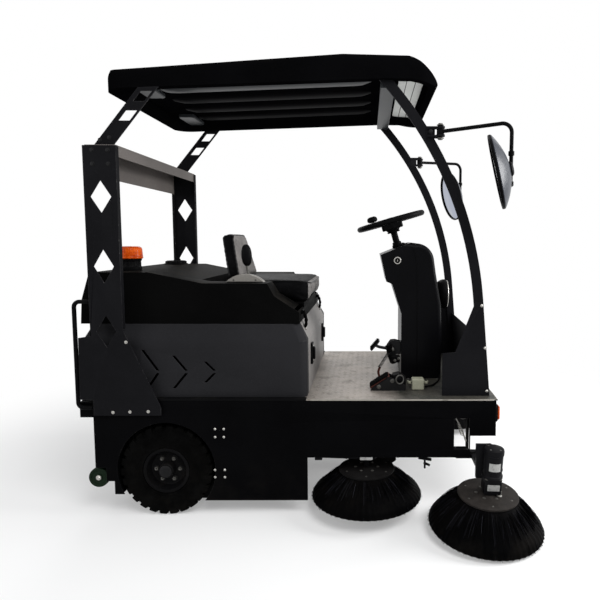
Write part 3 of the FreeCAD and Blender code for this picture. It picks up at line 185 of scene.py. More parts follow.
class Finish:
    """One material: node() adds a node, and the methods after it are the patterns its finishes share."""

    def __init__(self, name, roughness=0.5, **fixed):
        self.material = bpy.data.materials.new(name)
        self.material.use_nodes = True
        self.tree = self.material.node_tree
        self.tree.nodes.clear()
        self.shader = self.tree.nodes.new("ShaderNodeBsdfPrincipled")
        self.out = self.tree.nodes.new("ShaderNodeOutputMaterial")
        self.tree.links.new(self.shader.outputs[0], self.out.inputs[0])
        self.shader.inputs["Roughness"].default_value = roughness
        for socket, value in fixed.items():
            self.shader.inputs[socket.replace("_", " ")].default_value = value
        self.place = self.node("TexCoord", output="Object")

    def feed(self, socket, value):
        if isinstance(value, Wire):
            self.tree.links.new(value.socket, socket)
        elif isinstance(value, (tuple, list)) and len(value) == 3 and socket.type == "RGBA":
            socket.default_value = (*value, 1.0)
        else:
            socket.default_value = value

    def node(self, kind, settings=None, inputs=None, output=0):
        """Adds a node: its type, its settings, then its sockets' values or links."""
        node = self.tree.nodes.new("ShaderNode" + kind)
        for name, value in (settings or {}).items():
            setattr(node, name, value)
        for socket, value in (inputs or {}).items():
            self.feed(node.inputs[socket], value)
        return Wire(self, node.outputs[output])

    def stretched(self, scale, turn=(0, 0, 0)):
        return self.node("Mapping", {}, {"Vector": self.place, "Scale": scale, "Rotation": turn})

    def noise(self, scale, detail=3.0, rough=0.5, where=None):
        return self.node("TexNoise", {}, {
            "Vector": where or self.place, "Scale": scale, "Detail": detail, "Roughness": rough})

    def cells(self, scale, feature="F1"):
        return self.node("TexVoronoi", {"feature": feature}, {"Vector": self.place, "Scale": scale},
                         "Distance")

    def step(self, value, low, high):
        """0 below low, 1 above high, smooth between."""
        return self.node("MapRange", {"interpolation_type": "SMOOTHSTEP", "clamp": True},
                         {"Value": value, "From Min": low, "From Max": high})

    def part(self, axis, of=None):
        return self.node("SeparateXYZ", {}, {0: of or self.place}, "XYZ".index(axis))

    def facing(self, axis):
        """How far the surface faces along an axis."""
        return self.part(axis, self.node("NewGeometry", output="Normal"))

    def blend(self, share, first, second):
        """Mixes two colours."""
        return self.node("Mix", {"data_type": "RGBA"}, {0: share, 6: first, 7: second}, 2)

    def set(self, socket, value):
        self.feed(self.shader.inputs[socket], value)

    def done(self, base, roughness, height, strength, distance):
        """The material, with its colour, its roughness and its relief set."""
        self.set("Base Color", base)
        self.set("Roughness", roughness)
        relief = {"Height": height, "Strength": strength, "Distance": distance}
        self.set("Normal", self.node("Bump", {}, relief))
        return self.material

    def dust(self, reach=0.3):
        """Settled dust: on faces that look up, and more near the floor, broken by noise."""
        low = 1 - self.step(self.part("Z"), 0.02, reach)
        up = self.step(self.facing("Z"), 0.35, 0.95)
        return ((low * 0.45 + up * 0.3) * self.step(self.noise(9.0, 5.0, 0.62), 0.38, 0.72)).held()

    def scratches(self, amount=0.5):
        """Fine scuffs: two stretched noises at a slant, kept only at their crests."""
        one = self.step(self.noise(1.0, 3.0, 0.6, self.stretched((260, 14, 30), (0.3, 0.2, 0.5))), 0.66, 0.78)
        two = self.step(self.noise(1.0, 3.0, 0.6, self.stretched((18, 240, 260), (0.1, 0.6, -0.4))), 0.67,
                        0.8)
        return (one + two).held() * amount


def shade(tone, factor):
    return tuple(min(1.0, c * factor) for c in tone)


def toward(tone, other, share):
    return tuple(a + (b - a) * share for a, b in zip(tone, other))


DUST = screen(150, 140, 128)


def coated(name, tone, roughness, grain, depth, wear, dust, mottle, gloss):
    """Paint or moulded plastic: mottled tone, a grained skin, scuffs and settled dust."""
    f = Finish(name, roughness, Specular_IOR_Level=gloss)
    cloud = f.noise(2.6, 4.0, 0.6)
    base = f.blend(f.step(cloud, 0.3, 0.7), shade(tone, 1 - mottle), shade(tone, 1 + mottle))
    fine = f.noise(140.0, 2.0, 0.6)
    base = f.blend(f.step(fine, 0.5, 0.8) * 0.3, base, shade(tone, 1.8))
    scuff = f.scratches(wear)
    base = f.blend(scuff, base, toward(shade(tone, 1.8), (0.3, 0.3, 0.3), 0.03))
    grime = f.dust()
    base = f.blend(grime * dust, base, DUST)
    peel = f.cells(grain, feature="SMOOTH_F1") * 0.6 + f.noise(grain * 0.8, 2.0) * 0.5
    dull = (roughness - 0.07 + cloud * 0.14 + grime * 0.18 + scuff * 0.1).held()
    return f.done(base, dull, peel - scuff * 0.4, depth, 0.001)


def worn_and_highlit_edge(name, tone, strength, roughness=0.42):
    """The rubbed rounding of an edge: painted a quarter paler all along as a highlight, and the paint thinned
    to a paler tone in patches.
    """
    f = Finish(name, roughness, Specular_IOR_Level=0.04)
    patch = f.step(f.noise(16.0, 5.0, 0.65), 0.42, 0.66)
    chips = f.step(f.noise(120.0, 3.0, 0.7), 0.6, 0.72)
    # painted highlight: every rounding at least a quarter paler than its paint; the patches and chips on it
    # are wear
    base = f.blend(patch * strength, shade(tone, 1.25), toward(shade(tone, 1.5), (0.34, 0.33, 0.32), 0.1))
    f.set("Metallic", chips * strength * 0.5)
    base = f.blend(chips * strength * 0.8, base, (0.26, 0.25, 0.24))
    dull = roughness - 0.06 + patch * 0.12
    return f.done(base, dull, patch * 0.5 + chips, 0.25, 0.0006)


def plain_steel(name, tone, roughness, streak=(8, 260, 260)):
    """Zinc-plated or bare steel: brushed streaks and a few dull spots."""
    f = Finish(name, roughness, Metallic=0.85)
    lines = f.noise(1.0, 4.0, 0.6, f.stretched(streak))
    spots = f.step(f.noise(34.0, 4.0, 0.6), 0.52, 0.7)
    base = f.blend(spots * 0.6, f.blend(lines, shade(tone, 0.86), shade(tone, 1.12)), shade(tone, 0.45))
    dull = roughness - 0.08 + lines * 0.16 + spots * 0.18
    return f.done(base, dull, lines, 0.15, 0.0004)


def deck_steel(name, tone):
    """Trodden steel: dull patches, rust freckles, dirt in the hollows and bright rubbed crests."""
    f = Finish(name, 0.5, Metallic=0.25)
    broad = f.noise(5.0, 6.0, 0.62)
    fine = f.noise(70.0, 5.0, 0.7)
    base = f.blend(f.step(broad, 0.34, 0.66), shade(tone, 0.8), shade(tone, 1.22))
    base = f.blend(f.step(fine, 0.5, 0.72) * 0.55, base, shade(tone, 1.75))
    freckle = f.step(f.cells(60.0) * -1 + f.noise(26.0, 4.0, 0.7), 0.33, 0.5)
    base = f.blend(freckle * 0.65, base, screen(76, 58, 44))
    dirt = f.step(f.noise(13.0, 5.0, 0.7), 0.52, 0.7)
    front = f.step(f.part("X") + f.noise(9.0, 4.0, 0.6) * 0.08, 0.37, 0.46) * 0.88
    base = f.blend((dirt * 0.35 + front).held(), base, screen(32, 33, 27))
    chips = f.step(f.noise(150.0, 3.0, 0.7), 0.6, 0.68) * front * 0.5
    base = f.blend(chips, base, screen(176, 174, 162))
    f.set("Metallic", 0.35 - dirt * 0.25)
    dull = 0.42 + broad * 0.16 + dirt * 0.15
    return f.done(base, dull, fine + freckle * 0.6, 0.35, 0.0008)


def tyre_rubber(name, tone):
    """Rubber: dusty greyed crests, moulding marks and a dull skin."""
    f = Finish(name, 0.72, Specular_IOR_Level=0.004)
    cloud = f.noise(12.0, 5.0, 0.65)
    base = f.blend(f.step(cloud, 0.35, 0.7), shade(tone, 0.8), shade(tone, 1.7))
    base = f.blend(f.dust(0.42) * 0.06, base, screen(92, 87, 80))
    return f.done(base, 0.62 + cloud * 0.22, f.noise(230.0, 3.0) + cloud * 0.5, 0.3, 0.0007)


def seat_vinyl(name, black, across, start):
    """Grained vinyl: grey beyond a plane (where X and Z times across pass the start), black before it; the
    grey is a painted highlight, the black vinyl drawn as lit on its front faces.
    """
    f = Finish(name, 0.48, Specular_IOR_Level=0.012)
    grey = tone_of("vinyl_lit_front")
    pebble = f.cells(300.0, feature="SMOOTH_F1")
    crease = f.step(f.noise(1.0, 5.0, 0.65, f.stretched((34, 22, 60), (0.2, 0.1, 0.4))), 0.56, 0.68)
    bloom = f.noise(11.0, 5.0, 0.6)
    rubbed = f.step(f.noise(38.0, 6.0, 0.72), 0.5, 0.66)
    far = f.part("X") * across[0] + f.part("Z") * across[2] - start
    # painted highlight: the lit grey for the front faces, with its creases and rubbed patches
    pale = f.blend(f.step(bloom, 0.36, 0.68), shade(grey, 0.8), shade(grey, 1.15))
    pale = f.blend((crease * 0.5 + rubbed * 0.45).held(), pale, shade(grey, 0.34))
    dark = f.blend(f.step(bloom, 0.36, 0.68), shade(black, 0.7), shade(black, 1.4))
    dark = f.blend(rubbed * 0.25, dark, shade(black, 3.2))
    base = f.blend(f.step(far, -0.0008, 0.0008), dark, pale)
    dull = 0.38 + bloom * 0.2 + crease * 0.1
    return f.done(base, dull, pebble * 0.6 - crease * 1.6 + bloom * 0.5, 0.5, 0.0011)


def bristle_black(name, tone):
    """Bristles: each has its own tone, carried by the piece's strand attribute; the paler strands are painted
    highlights, glints on single bristles.
    """
    f = Finish(name, 0.46, Specular_IOR_Level=0.01)
    # painted highlight: the strand value makes a few bristles paler, as glints
    own = f.node("Attribute", {"attribute_name": "strand"}, output="Fac")
    base = f.blend(own ** 6.0, shade(tone, 0.55), shade(tone, 16.0))
    base = f.blend(f.dust(0.1) * 0.03, base, DUST)
    dull = 0.38 + f.noise(60.0, 3.0) * 0.24
    return f.done(base, dull, f.noise(420.0, 2.0), 0.3, 0.0005)


def amber_lens(name, tone):
    """Moulded amber: upright flutes, a deeper tone in level bands and a glossy skin."""
    f = Finish(name, 0.16, Specular_IOR_Level=0.07)
    cloud = f.noise(40.0, 3.0)
    low = f.step(f.noise(6.0, 2.0, 0.5, f.stretched((1, 1, 14))), 0.4, 0.6)
    base = f.blend(f.step(cloud, 0.3, 0.7), shade(tone, 0.8), toward(tone, screen(255, 150, 50), 0.15))
    base = f.blend(low * 0.55, base, shade(tone, 0.5))
    dull = 0.12 + f.noise(90.0, 3.0) * 0.14
    return f.done(base, dull, cloud, 0.1, 0.0005)


def lamp_glass(name, tone):
    """Lamp glass over a bright reflector: fine upright flutes and a pale sheen."""
    f = Finish(name, 0.1, Metallic=0.55, Coat_Weight=1.0, Coat_Roughness=0.04)
    flute = f.node("TexWave", {"bands_direction": "Y"}, {"Vector": f.place, "Scale": 32.0, "Distortion": 0.6})
    base = f.blend(flute, tone, screen(232, 233, 235))
    dull = 0.08 + f.noise(50.0, 3.0) * 0.1
    return f.done(base, dull, flute, 0.35, 0.0012)


def mirror_glass(name, tone):
    """Blue-tinted silvered glass with faint smears."""
    f = Finish(name, 0.04, Metallic=1.0)
    smear = f.step(f.noise(7.0, 5.0, 0.65, f.stretched((1, 3, 1))), 0.45, 0.75)
    base = f.blend(smear, tone, screen(180, 184, 192))
    return f.done(base, 0.03 + smear * 0.1, smear, 0.03, 0.0003)


def label_plate(name, tone):
    """A blank plate: pale foil with grime and no marks."""
    f = Finish(name, 0.42, Metallic=0.3)
    grime = f.step(f.noise(95.0, 5.0, 0.7), 0.46, 0.7)
    base = f.blend(grime * 0.55, shade(tone, 1.15), shade(tone, 0.42))
    return f.done(base, 0.34 + grime * 0.3, grime, 0.2, 0.0004)


def brush_disc(name, tone):
    """A brush's disc: dull brown-grey casting, mottled, with pale grit specks."""
    f = Finish(name, 0.55, Specular_IOR_Level=0.08)
    cloud = f.noise(18.0, 5.0, 0.65)
    grit = f.step(f.noise(160.0, 3.0, 0.7), 0.55, 0.75)
    base = f.blend(f.step(cloud, 0.35, 0.68), shade(tone, 0.7), shade(tone, 1.3))
    base = f.blend(grit * 0.35, base, shade(tone, 2.2))
    return f.done(base, 0.46 + cloud * 0.22, cloud + grit * 0.7, 0.3, 0.0009)


# each kind of finish with its rows: a name, one of the machine's colours or a screen colour, then its values
FINISH_ROWS = {
    # roughness, grain, depth of the grain, wear, dust, mottle, gloss
    coated: [
        ("skirt_coat", "skirt", 0.55, 210, 0.3, 0.12, 0.02, 0.25, 0.012),
        ("body_coat", "body", 0.55, 260, 0.4, 0.12, 0.05, 0.1, 0.03),
        ("front_coat", "front", 0.5, 260, 0.4, 0.16, 0.2, 0.1, 0.15),
        ("pillar_coat", "pillar", 0.5, 240, 0.3, 0.15, 0.03, 0.18, 0.02),
        ("beam_coat", "beam", 0.5, 240, 0.25, 0.3, 0.1, 0.12, 0.08),
        ("hood_skin", "hood", 0.5, 420, 0.45, 0.14, 0.12, 0.2, 0.004),
        ("canopy_skin", "canopy", 0.45, 150, 0.12, 0.1, 0.02, 0.2, 0.0),
        ("canopy_lining", (10, 10, 11), 0.38, 150, 0.15, 0.12, 0.0, 0.14, 0.004),
        # paler band: a painted highlight on one ceiling channel and the brackets; the canopy bar wears it too
        ("canopy_band", (46, 48, 50), 0.3, 150, 0.15, 0.12, 0.0, 0.14, 0.05),
        ("canopy_pale", (214, 216, 212), 0.4, 150, 0.15, 0.12, 0.0, 0.1, 0.3),
        ("console_skin", "console", 0.3, 380, 0.3, 0.14, 0.03, 0.14, 0.035),
        ("black_plastic", (9, 9, 10), 0.42, 320, 0.3, 0.2, 0.04, 0.18, 0.025),
        ("battery_case", (38, 40, 44), 0.55, 200, 0.3, 0.2, 0.3, 0.18, 0.25),
        ("rim_coat", "rim", 0.4, 180, 0.3, 0.5, 0.05, 0.18, 0.03),
        ("motor_coat", "motor", 0.42, 220, 0.25, 0.35, 0.05, 0.18, 0.04),
        ("roller_urethane", "roller", 0.45, 160, 0.3, 0.5, 0.05, 0.18, 0.05),
        ("pale_plastic", (150, 150, 132), 0.45, 200, 0.2, 0.2, 0.3, 0.08, 0.25),
        ("rust_pad", (70, 36, 30), 0.6, 180, 0.5, 0.5, 0.3, 0.25, 0.1),
        ("piping_vinyl", "vinyl", 0.45, 300, 0.2, 0.2, 0.1, 0.2, 0.15),
        ("quadrant_grey", (128, 125, 120), 0.5, 220, 0.2, 0.2, 0.2, 0.12, 0.2),
        ("mirror_back", (50, 53, 60), 0.3, 320, 0.2, 0.12, 0.04, 0.12, 0.14),
    ],
    # strength of the wear
    worn_and_highlit_edge: [
        ("skirt_edge", "skirt", 0.35), ("body_edge", "body", 0.4), ("front_edge", "front", 0.4),
        ("pillar_edge", "pillar", 0.6), ("beam_edge", "beam", 0.55), ("motor_edge", "motor", 0.55),
    ],
    # roughness, stretch of the streaks
    plain_steel: [
        ("zinc", "zinc", 0.34), ("dark_steel", (84, 83, 80), 0.44), ("black_steel", (24, 24, 25), 0.5),
        ("deck_edge_steel", (158, 154, 146), 0.4, (30, 260, 260)),
    ],
    # the plane where the grey, a painted highlight, starts: X and Z times these, past the start
    seat_vinyl: [
        ("cushion_vinyl", "vinyl", (1.0, 0, 0), -0.039),
        ("back_vinyl", "vinyl", (0.9737, 0, 0.2285), -0.1285),
    ],
    deck_steel: [("deck_steel", "deck")],
    tyre_rubber: [("tyre_rubber", "rubber")],
    bristle_black: [("bristle_black", "bristle")],
    # the middle brushes' discs: a darker copy of the disc finish, painted shade under the skirts
    brush_disc: [("brush_disc", "disc"), ("black_disc", (17, 16, 16))],
    amber_lens: [("amber_lens", "amber")],
    lamp_glass: [("lamp_glass", (176, 178, 182))],
    mirror_glass: [("mirror_glass", (160, 166, 182))],
    label_plate: [("label_plate", "label")],
}
FINISHES = {}


def tone_of(colour):
    """One of the machine's colours by its name, or a screen colour."""
    return tuple(getattr(colours(), colour)) if isinstance(colour, str) else screen(*colour)


def finish(name):
    """A finish by name; all of them are made the first time one is asked for."""
    if "zinc" not in FINISHES:
        for kind, rows in FINISH_ROWS.items():
            for row, colour, *rest in rows:
                FINISHES[row] = kind(row, tone_of(colour), *rest)
    return FINISHES[name]


# ---------------------------------------------------------------- forms

STAY = np.eye(4)


def joined(*parts):
    """Coordinates side by side along a new last axis; single numbers and rows are stretched to fit."""
    return np.stack(np.broadcast_arrays(*parts), -1)


def moved(points, place):
    """Points carried by a 4 x 4 placing: turned by its first three columns, shifted by its last."""
    return np.asarray(points) @ place[:3, :3].T + place[:3, 3]


def shifted(place, by):
    """The same placing, moved by a vector."""
    out = place.copy()
    out[:3, 3] += by
    return out


def facing(at, normal, spin=0.0, along=None):
    """Placings, one for each place: Z along the normal, X along a given line or any line square to it."""
    at = np.atleast_2d(np.asarray(at, float))
    z = np.broadcast_to(np.asarray(normal, float), at.shape)
    z = z / np.linalg.norm(z, axis=1, keepdims=True)
    if along is None:
        along = np.where(np.abs(z[:, :1]) < 0.9, np.array([[1.0, 0, 0]]), np.array([[0, 1.0, 0]]))
    x = np.broadcast_to(np.asarray(along, float), at.shape)
    x = x - z * (x * z).sum(1, keepdims=True)
    x = x / np.linalg.norm(x, axis=1, keepdims=True)
    y = np.cross(z, x)
    c, s = np.cos(spin), np.sin(spin)
    out = np.zeros((len(at), 4, 4))
    out[:, :3, 0], out[:, :3, 1] = x * c + y * s, y * c - x * s
    out[:, :3, 2], out[:, :3, 3], out[:, 3, 3] = z, at, 1
    return out


def placed(at, normal, along=None):
    """One such placing."""
    return facing(at, normal, 0.0, along)[0]


def quads(rows, columns, wrap=True):
    """Faces of a grid, rows by columns; with wrap the last column meets the first."""
    r, c = np.meshgrid(np.arange(rows - 1), np.arange(columns if wrap else columns - 1), indexing="ij")
    r, c = r.ravel(), c.ravel()
    d = (c + 1) % columns
    return np.stack((r * columns + c, r * columns + d, (r + 1) * columns + d, (r + 1) * columns + c), 1)


def ring(radius, sides):
    """A circle: the cosine and sine of even steps, times the radius."""
    t = np.arange(sides) * TURN / sides
    return joined(radius * np.cos(t), radius * np.sin(t))


def round_spots(radius, height, count, start=0.0, x=0.0, y=0.0):
    """Even steps round a circle about x and y, all at one height."""
    t = start + np.arange(count) * TURN / count
    return joined(x + radius * np.cos(t), y + radius * np.sin(t), height)


def spring_line(start, run, radius, turns, steps):
    """The line of a coiled spring: a circle's cosine and sine, carried along the run."""
    t = np.linspace(0, 1, steps)
    a = t * TURN * turns
    return np.array(start) + t[:, None] * run + joined(radius * np.cos(a), radius * np.sin(a), 0)


def mirrored(profile):
    """An open profile (radius, height) and its mirror image below, as one closed line."""
    return np.concatenate((profile, profile[::-1] * (1, -1)))


def rounded_plan(width, depth, radius, steps=4):
    """A rectangle with quarter-circle corners, going round anticlockwise."""
    t = np.linspace(0, math.pi / 2, steps + 1)
    arc = np.stack((np.cos(t), np.sin(t)), 1) * radius
    sides = []
    for quarter, (sx, sy) in enumerate(((1, 1), (-1, 1), (-1, -1), (1, -1))):
        c, s = math.cos(quarter * math.pi / 2), math.sin(quarter * math.pi / 2)
        corner = np.array((sx * (width / 2 - radius), sy * (depth / 2 - radius)))
        sides.append(arc @ np.array(((c, s), (-s, c))) + corner)
    return np.concatenate(sides)


def inset(plan, by):
    """A closed outline moved inwards: each corner goes along its mitre."""
    ahead = np.roll(plan, -1, 0) - plan
    ahead /= np.maximum(np.linalg.norm(ahead, axis=1, keepdims=True), 1e-9)
    back = np.roll(ahead, 1, 0)
    inward = np.stack((-ahead[:, 1], ahead[:, 0]), 1) + np.stack((-back[:, 1], back[:, 0]), 1)
    reach = np.maximum((inward ** 2).sum(1, keepdims=True) / 2, 0.25)
    return plan + inward * by / reach


def curved_path(corners, radius, steps=6):
    """A line through corners, each rounded by a parabola that starts and ends a radius away from it."""
    p = np.asarray(corners, float)
    back, ahead = p[:-2] - p[1:-1], p[2:] - p[1:-1]
    far_back, far_ahead = (np.linalg.norm(way, axis=1, keepdims=True) for way in (back, ahead))
    a = p[1:-1] + back / far_back * np.minimum(radius, far_back * 0.49)
    b = p[1:-1] + ahead / far_ahead * np.minimum(radius, far_ahead * 0.49)
    t = np.linspace(0, 1, steps)[None, :, None]
    bend = (1 - t) ** 2 * a[:, None] + 2 * t * (1 - t) * p[1:-1][:, None] + t ** 2 * b[:, None]
    return np.concatenate((p[:1], bend.reshape(-1, p.shape[1]), p[-1:]))


class Form:
    """Gathers one piece's points and faces, with a finish for each face."""

    def __init__(self, *finishes):
        self.finishes = finishes
        self.points, self.loops, self.corners, self.marks, self.strand = [], [], [], [], []
        self.count = 0

    def add(self, points, faces, mark=0, strand=0.0):
        points = np.asarray(points, float).reshape(-1, 3)
        self.points.append(points)
        self.strand.append(np.broadcast_to(np.asarray(strand, float), (len(points),)))
        self.add_faces(self.count, faces, mark)
        self.count += len(points)

    def add_faces(self, before, faces, mark=0):
        """More faces on points that were added from a given count on."""
        faces = np.asarray(faces)
        self.loops.append((faces + before).ravel())
        self.corners.append(np.full(len(faces), faces.shape[1]))
        self.marks.append(np.full(len(faces), mark))

    def repeat(self, shape, places, mark=0):
        """A shape, (points, faces), set at each placing."""
        points, faces = shape
        out = np.einsum("nij,pj->npi", places[:, :3, :3], points) + places[:, None, :3, 3]
        steps = (np.arange(len(places)) * len(points))[:, None, None]
        self.add(out, (faces[None] + steps).reshape(-1, faces.shape[1]), mark)

    def lathe(self, profile, place=STAY, sides=40, mark=0, ring_form=False):
        """A profile (radius, height) turned about Z: radius times cosine and sine, then the height.

        A ring form's profile meets itself; any other is closed at both ends on the axis.
        """
        self.add(*turned(profile, sides, ring_form, place), mark)

    def block(self, plan, low, high, edge=0.0, place=STAY, mark=0):
        """A plan carried up from low to high, its rims drawn in by the edge."""
        levels = ((plan, low), (plan, high))
        if edge:
            small = inset(plan, edge)
            levels = ((small, low), (plan, low + edge), (plan, high - edge), (small, high))
        n = len(plan)
        points = moved(np.concatenate([joined(*p.T, z) for p, z in levels]), place)
        self.add(points, quads(len(levels), n), mark)
        self.add(points[:n][::-1], np.arange(n)[None], mark)
        self.add(points[-n:], np.arange(n)[None], mark)

    def plate(self, size, low, high, edge=0.0, place=STAY, mark=0):
        """A block on a rounded rectangle, whose size is its width, depth and corner radius."""
        self.block(rounded_plan(*size), low, high, edge, place, mark)

    def sweep(self, path, section, up=UP, mark=0, closed=False, scale=None):
        """A section carried along a path, square to it: its first axis lies across, its second towards up."""
        path, section = np.asarray(path, float), np.asarray(section, float)
        ahead = np.roll(path, -1, 0) - np.roll(path, 1, 0) if closed else np.gradient(path, axis=0)
        ahead /= np.linalg.norm(ahead, axis=1, keepdims=True)
        up = np.broadcast_to(np.asarray(up, float), path.shape)
        across = np.cross(ahead, up)
        across /= np.maximum(np.linalg.norm(across, axis=1, keepdims=True), 1e-9)
        lift = np.cross(across, ahead)
        grow = np.ones(len(path)) if scale is None else np.asarray(scale, float)
        around = across[:, None] * section[None, :, :1] + lift[:, None] * section[None, :, 1:]
        rings = path[:, None] + around * grow[:, None, None]
        n = len(section)
        points = rings.reshape(-1, 3)
        if closed:
            points = np.concatenate((points, points[:n]))
        self.add(points, quads(len(points) // n, n), mark)
        if not closed:
            self.add(points[:n], np.arange(n)[None, ::-1], mark)
            self.add(points[-n:], np.arange(n)[None], mark)

    def tube(self, corners, radius, bend, sides, mark):
        slant = (0.13, 0.29, 0.95)
        self.sweep(curved_path(corners, bend), ring(radius, sides), slant, mark)

    def bolts(self, at, normal, radius=None, mark=0, round_head=False):
        """Bolt heads with washers: a hexagon or a dome on a flat ring."""
        r = radius or sizes().bolt
        spots = facing(at, normal, 0.3)
        head = [(0, 0), (r, 0), (r, r * 0.55), (r * 0.86, r * 0.7), (r * 0.5, r * 0.72), (0, r * 0.62)]
        if round_head:
            head = [(0, 0), (r * 0.96, 0), (r * 0.96, r * 0.3), (r * 0.6, r * 0.62), (0, r * 0.7)]
        self.repeat(turned(head, 10 if round_head else 6), spots, mark)
        washer = [(0, 0), (r * 1.45, 0), (r * 1.45, r * 0.14), (r * 1.3, r * 0.2), (0, r * 0.2)]
        self.repeat(turned(washer, 14), spots, mark)

    def make(self, name, body, replaced=(), angle=32):
        """The finished object: doubles merged, faces outwards, sharp where it folds more than the angle."""
        mesh = self.mesh(name)
        tidy(mesh)
        mesh.shade_smooth()
        mesh.set_sharp_from_angle(angle=math.radians(angle))
        settle(bpy.data.objects.new(name, mesh), body, replaced)

    def mesh(self, name):
        mesh = bpy.data.meshes.new(name)
        points = np.concatenate(self.points)
        loops, corners = np.concatenate(self.loops), np.concatenate(self.corners)
        mesh.vertices.add(len(points))
        mesh.vertices.foreach_set("co", points.ravel())
        mesh.loops.add(len(loops))
        mesh.loops.foreach_set("vertex_index", loops.astype(np.int32))
        mesh.polygons.add(len(corners))
        mesh.polygons.foreach_set("loop_start", (np.cumsum(corners) - corners).astype(np.int32))
        for material in self.finishes:
            mesh.materials.append(finish(material))
        mesh.polygons.foreach_set("material_index", np.concatenate(self.marks).astype(np.int32))
        if any(s.any() for s in self.strand):
            layer = mesh.attributes.new("strand", "FLOAT", "POINT")
            layer.data.foreach_set("value", np.concatenate(self.strand))
        mesh.update(calc_edges=True)
        mesh.validate()
        return mesh


def turned(profile, sides, ring_form=False, place=STAY):
    """Points and faces of a profile (radius, height) turned about Z."""
    p = np.asarray(profile, float)
    if ring_form:
        p = np.concatenate((p, p[:1]))
    else:
        p = np.concatenate(([[0, p[0, 1]]], p, [[0, p[-1, 1]]]))
    t = np.arange(sides) * TURN / sides
    grid = joined(p[:, :1] * np.cos(t), p[:, :1] * np.sin(t), p[:, 1:])
    return moved(grid.reshape(-1, 3), place), quads(len(p), sides)


def tidy(mesh, recalculate=True):
    """Merges doubles and, unless told otherwise, turns the faces outwards."""
    work = bmesh.new()
    work.from_mesh(mesh)
    bmesh.ops.remove_doubles(work, verts=work.verts, dist=2e-6)
    bmesh.ops.dissolve_degenerate(work, edges=work.edges, dist=1e-7)
    if recalculate:
        bmesh.ops.recalc_face_normals(work, faces=work.faces)
    work.to_mesh(mesh)
    work.free()


def settle(piece, body, replaced=()):
    """Links a piece, gives it its body, and hides the nodes it replaces."""
    bpy.context.scene.collection.objects.link(piece)
    if replaced:
        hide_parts(*replaced)
    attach(piece, body)


def body_of(node):
    return NODES[node]["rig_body"]


def rounded(node, main, edge, width=None, segments=2):
    """A frame piece with its sharp edges rounded: its own mesh, merged, then bevelled where it folds."""
    sharp = math.radians(30)
    mesh = NODES[node].data.copy()
    mesh.materials.clear()
    mesh.materials.append(finish(main))
    mesh.materials.append(finish(edge))
    mesh.polygons.foreach_set("material_index", np.zeros(len(mesh.polygons), np.int32))
    tidy(mesh, recalculate=False)
    mesh.shade_smooth()
    mesh.set_sharp_from_angle(angle=sharp)
    piece = bpy.data.objects.new(node + "_finished", mesh)
    bevel = piece.modifiers.new("Bevel", "BEVEL")
    bevel.width, bevel.segments = sizes().fold if width is None else width, segments
    bevel.limit_method, bevel.angle_limit = "ANGLE", sharp
    bevel.material, bevel.miter_outer = 1, "MITER_ARC"
    settle(piece, body_of(node), [node])


def corners_of(node):
    low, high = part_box(node)
    return np.array(low), np.array(high)


SIDES = (("right", -1), ("left", 1))


# ---------------------------------------------------------------- stage

# rays that see the white surroundings as they are; all others get the softer light
SEEING_RAYS = ("Is Camera Ray", "Is Glossy Ray", "Is Transmission Ray")


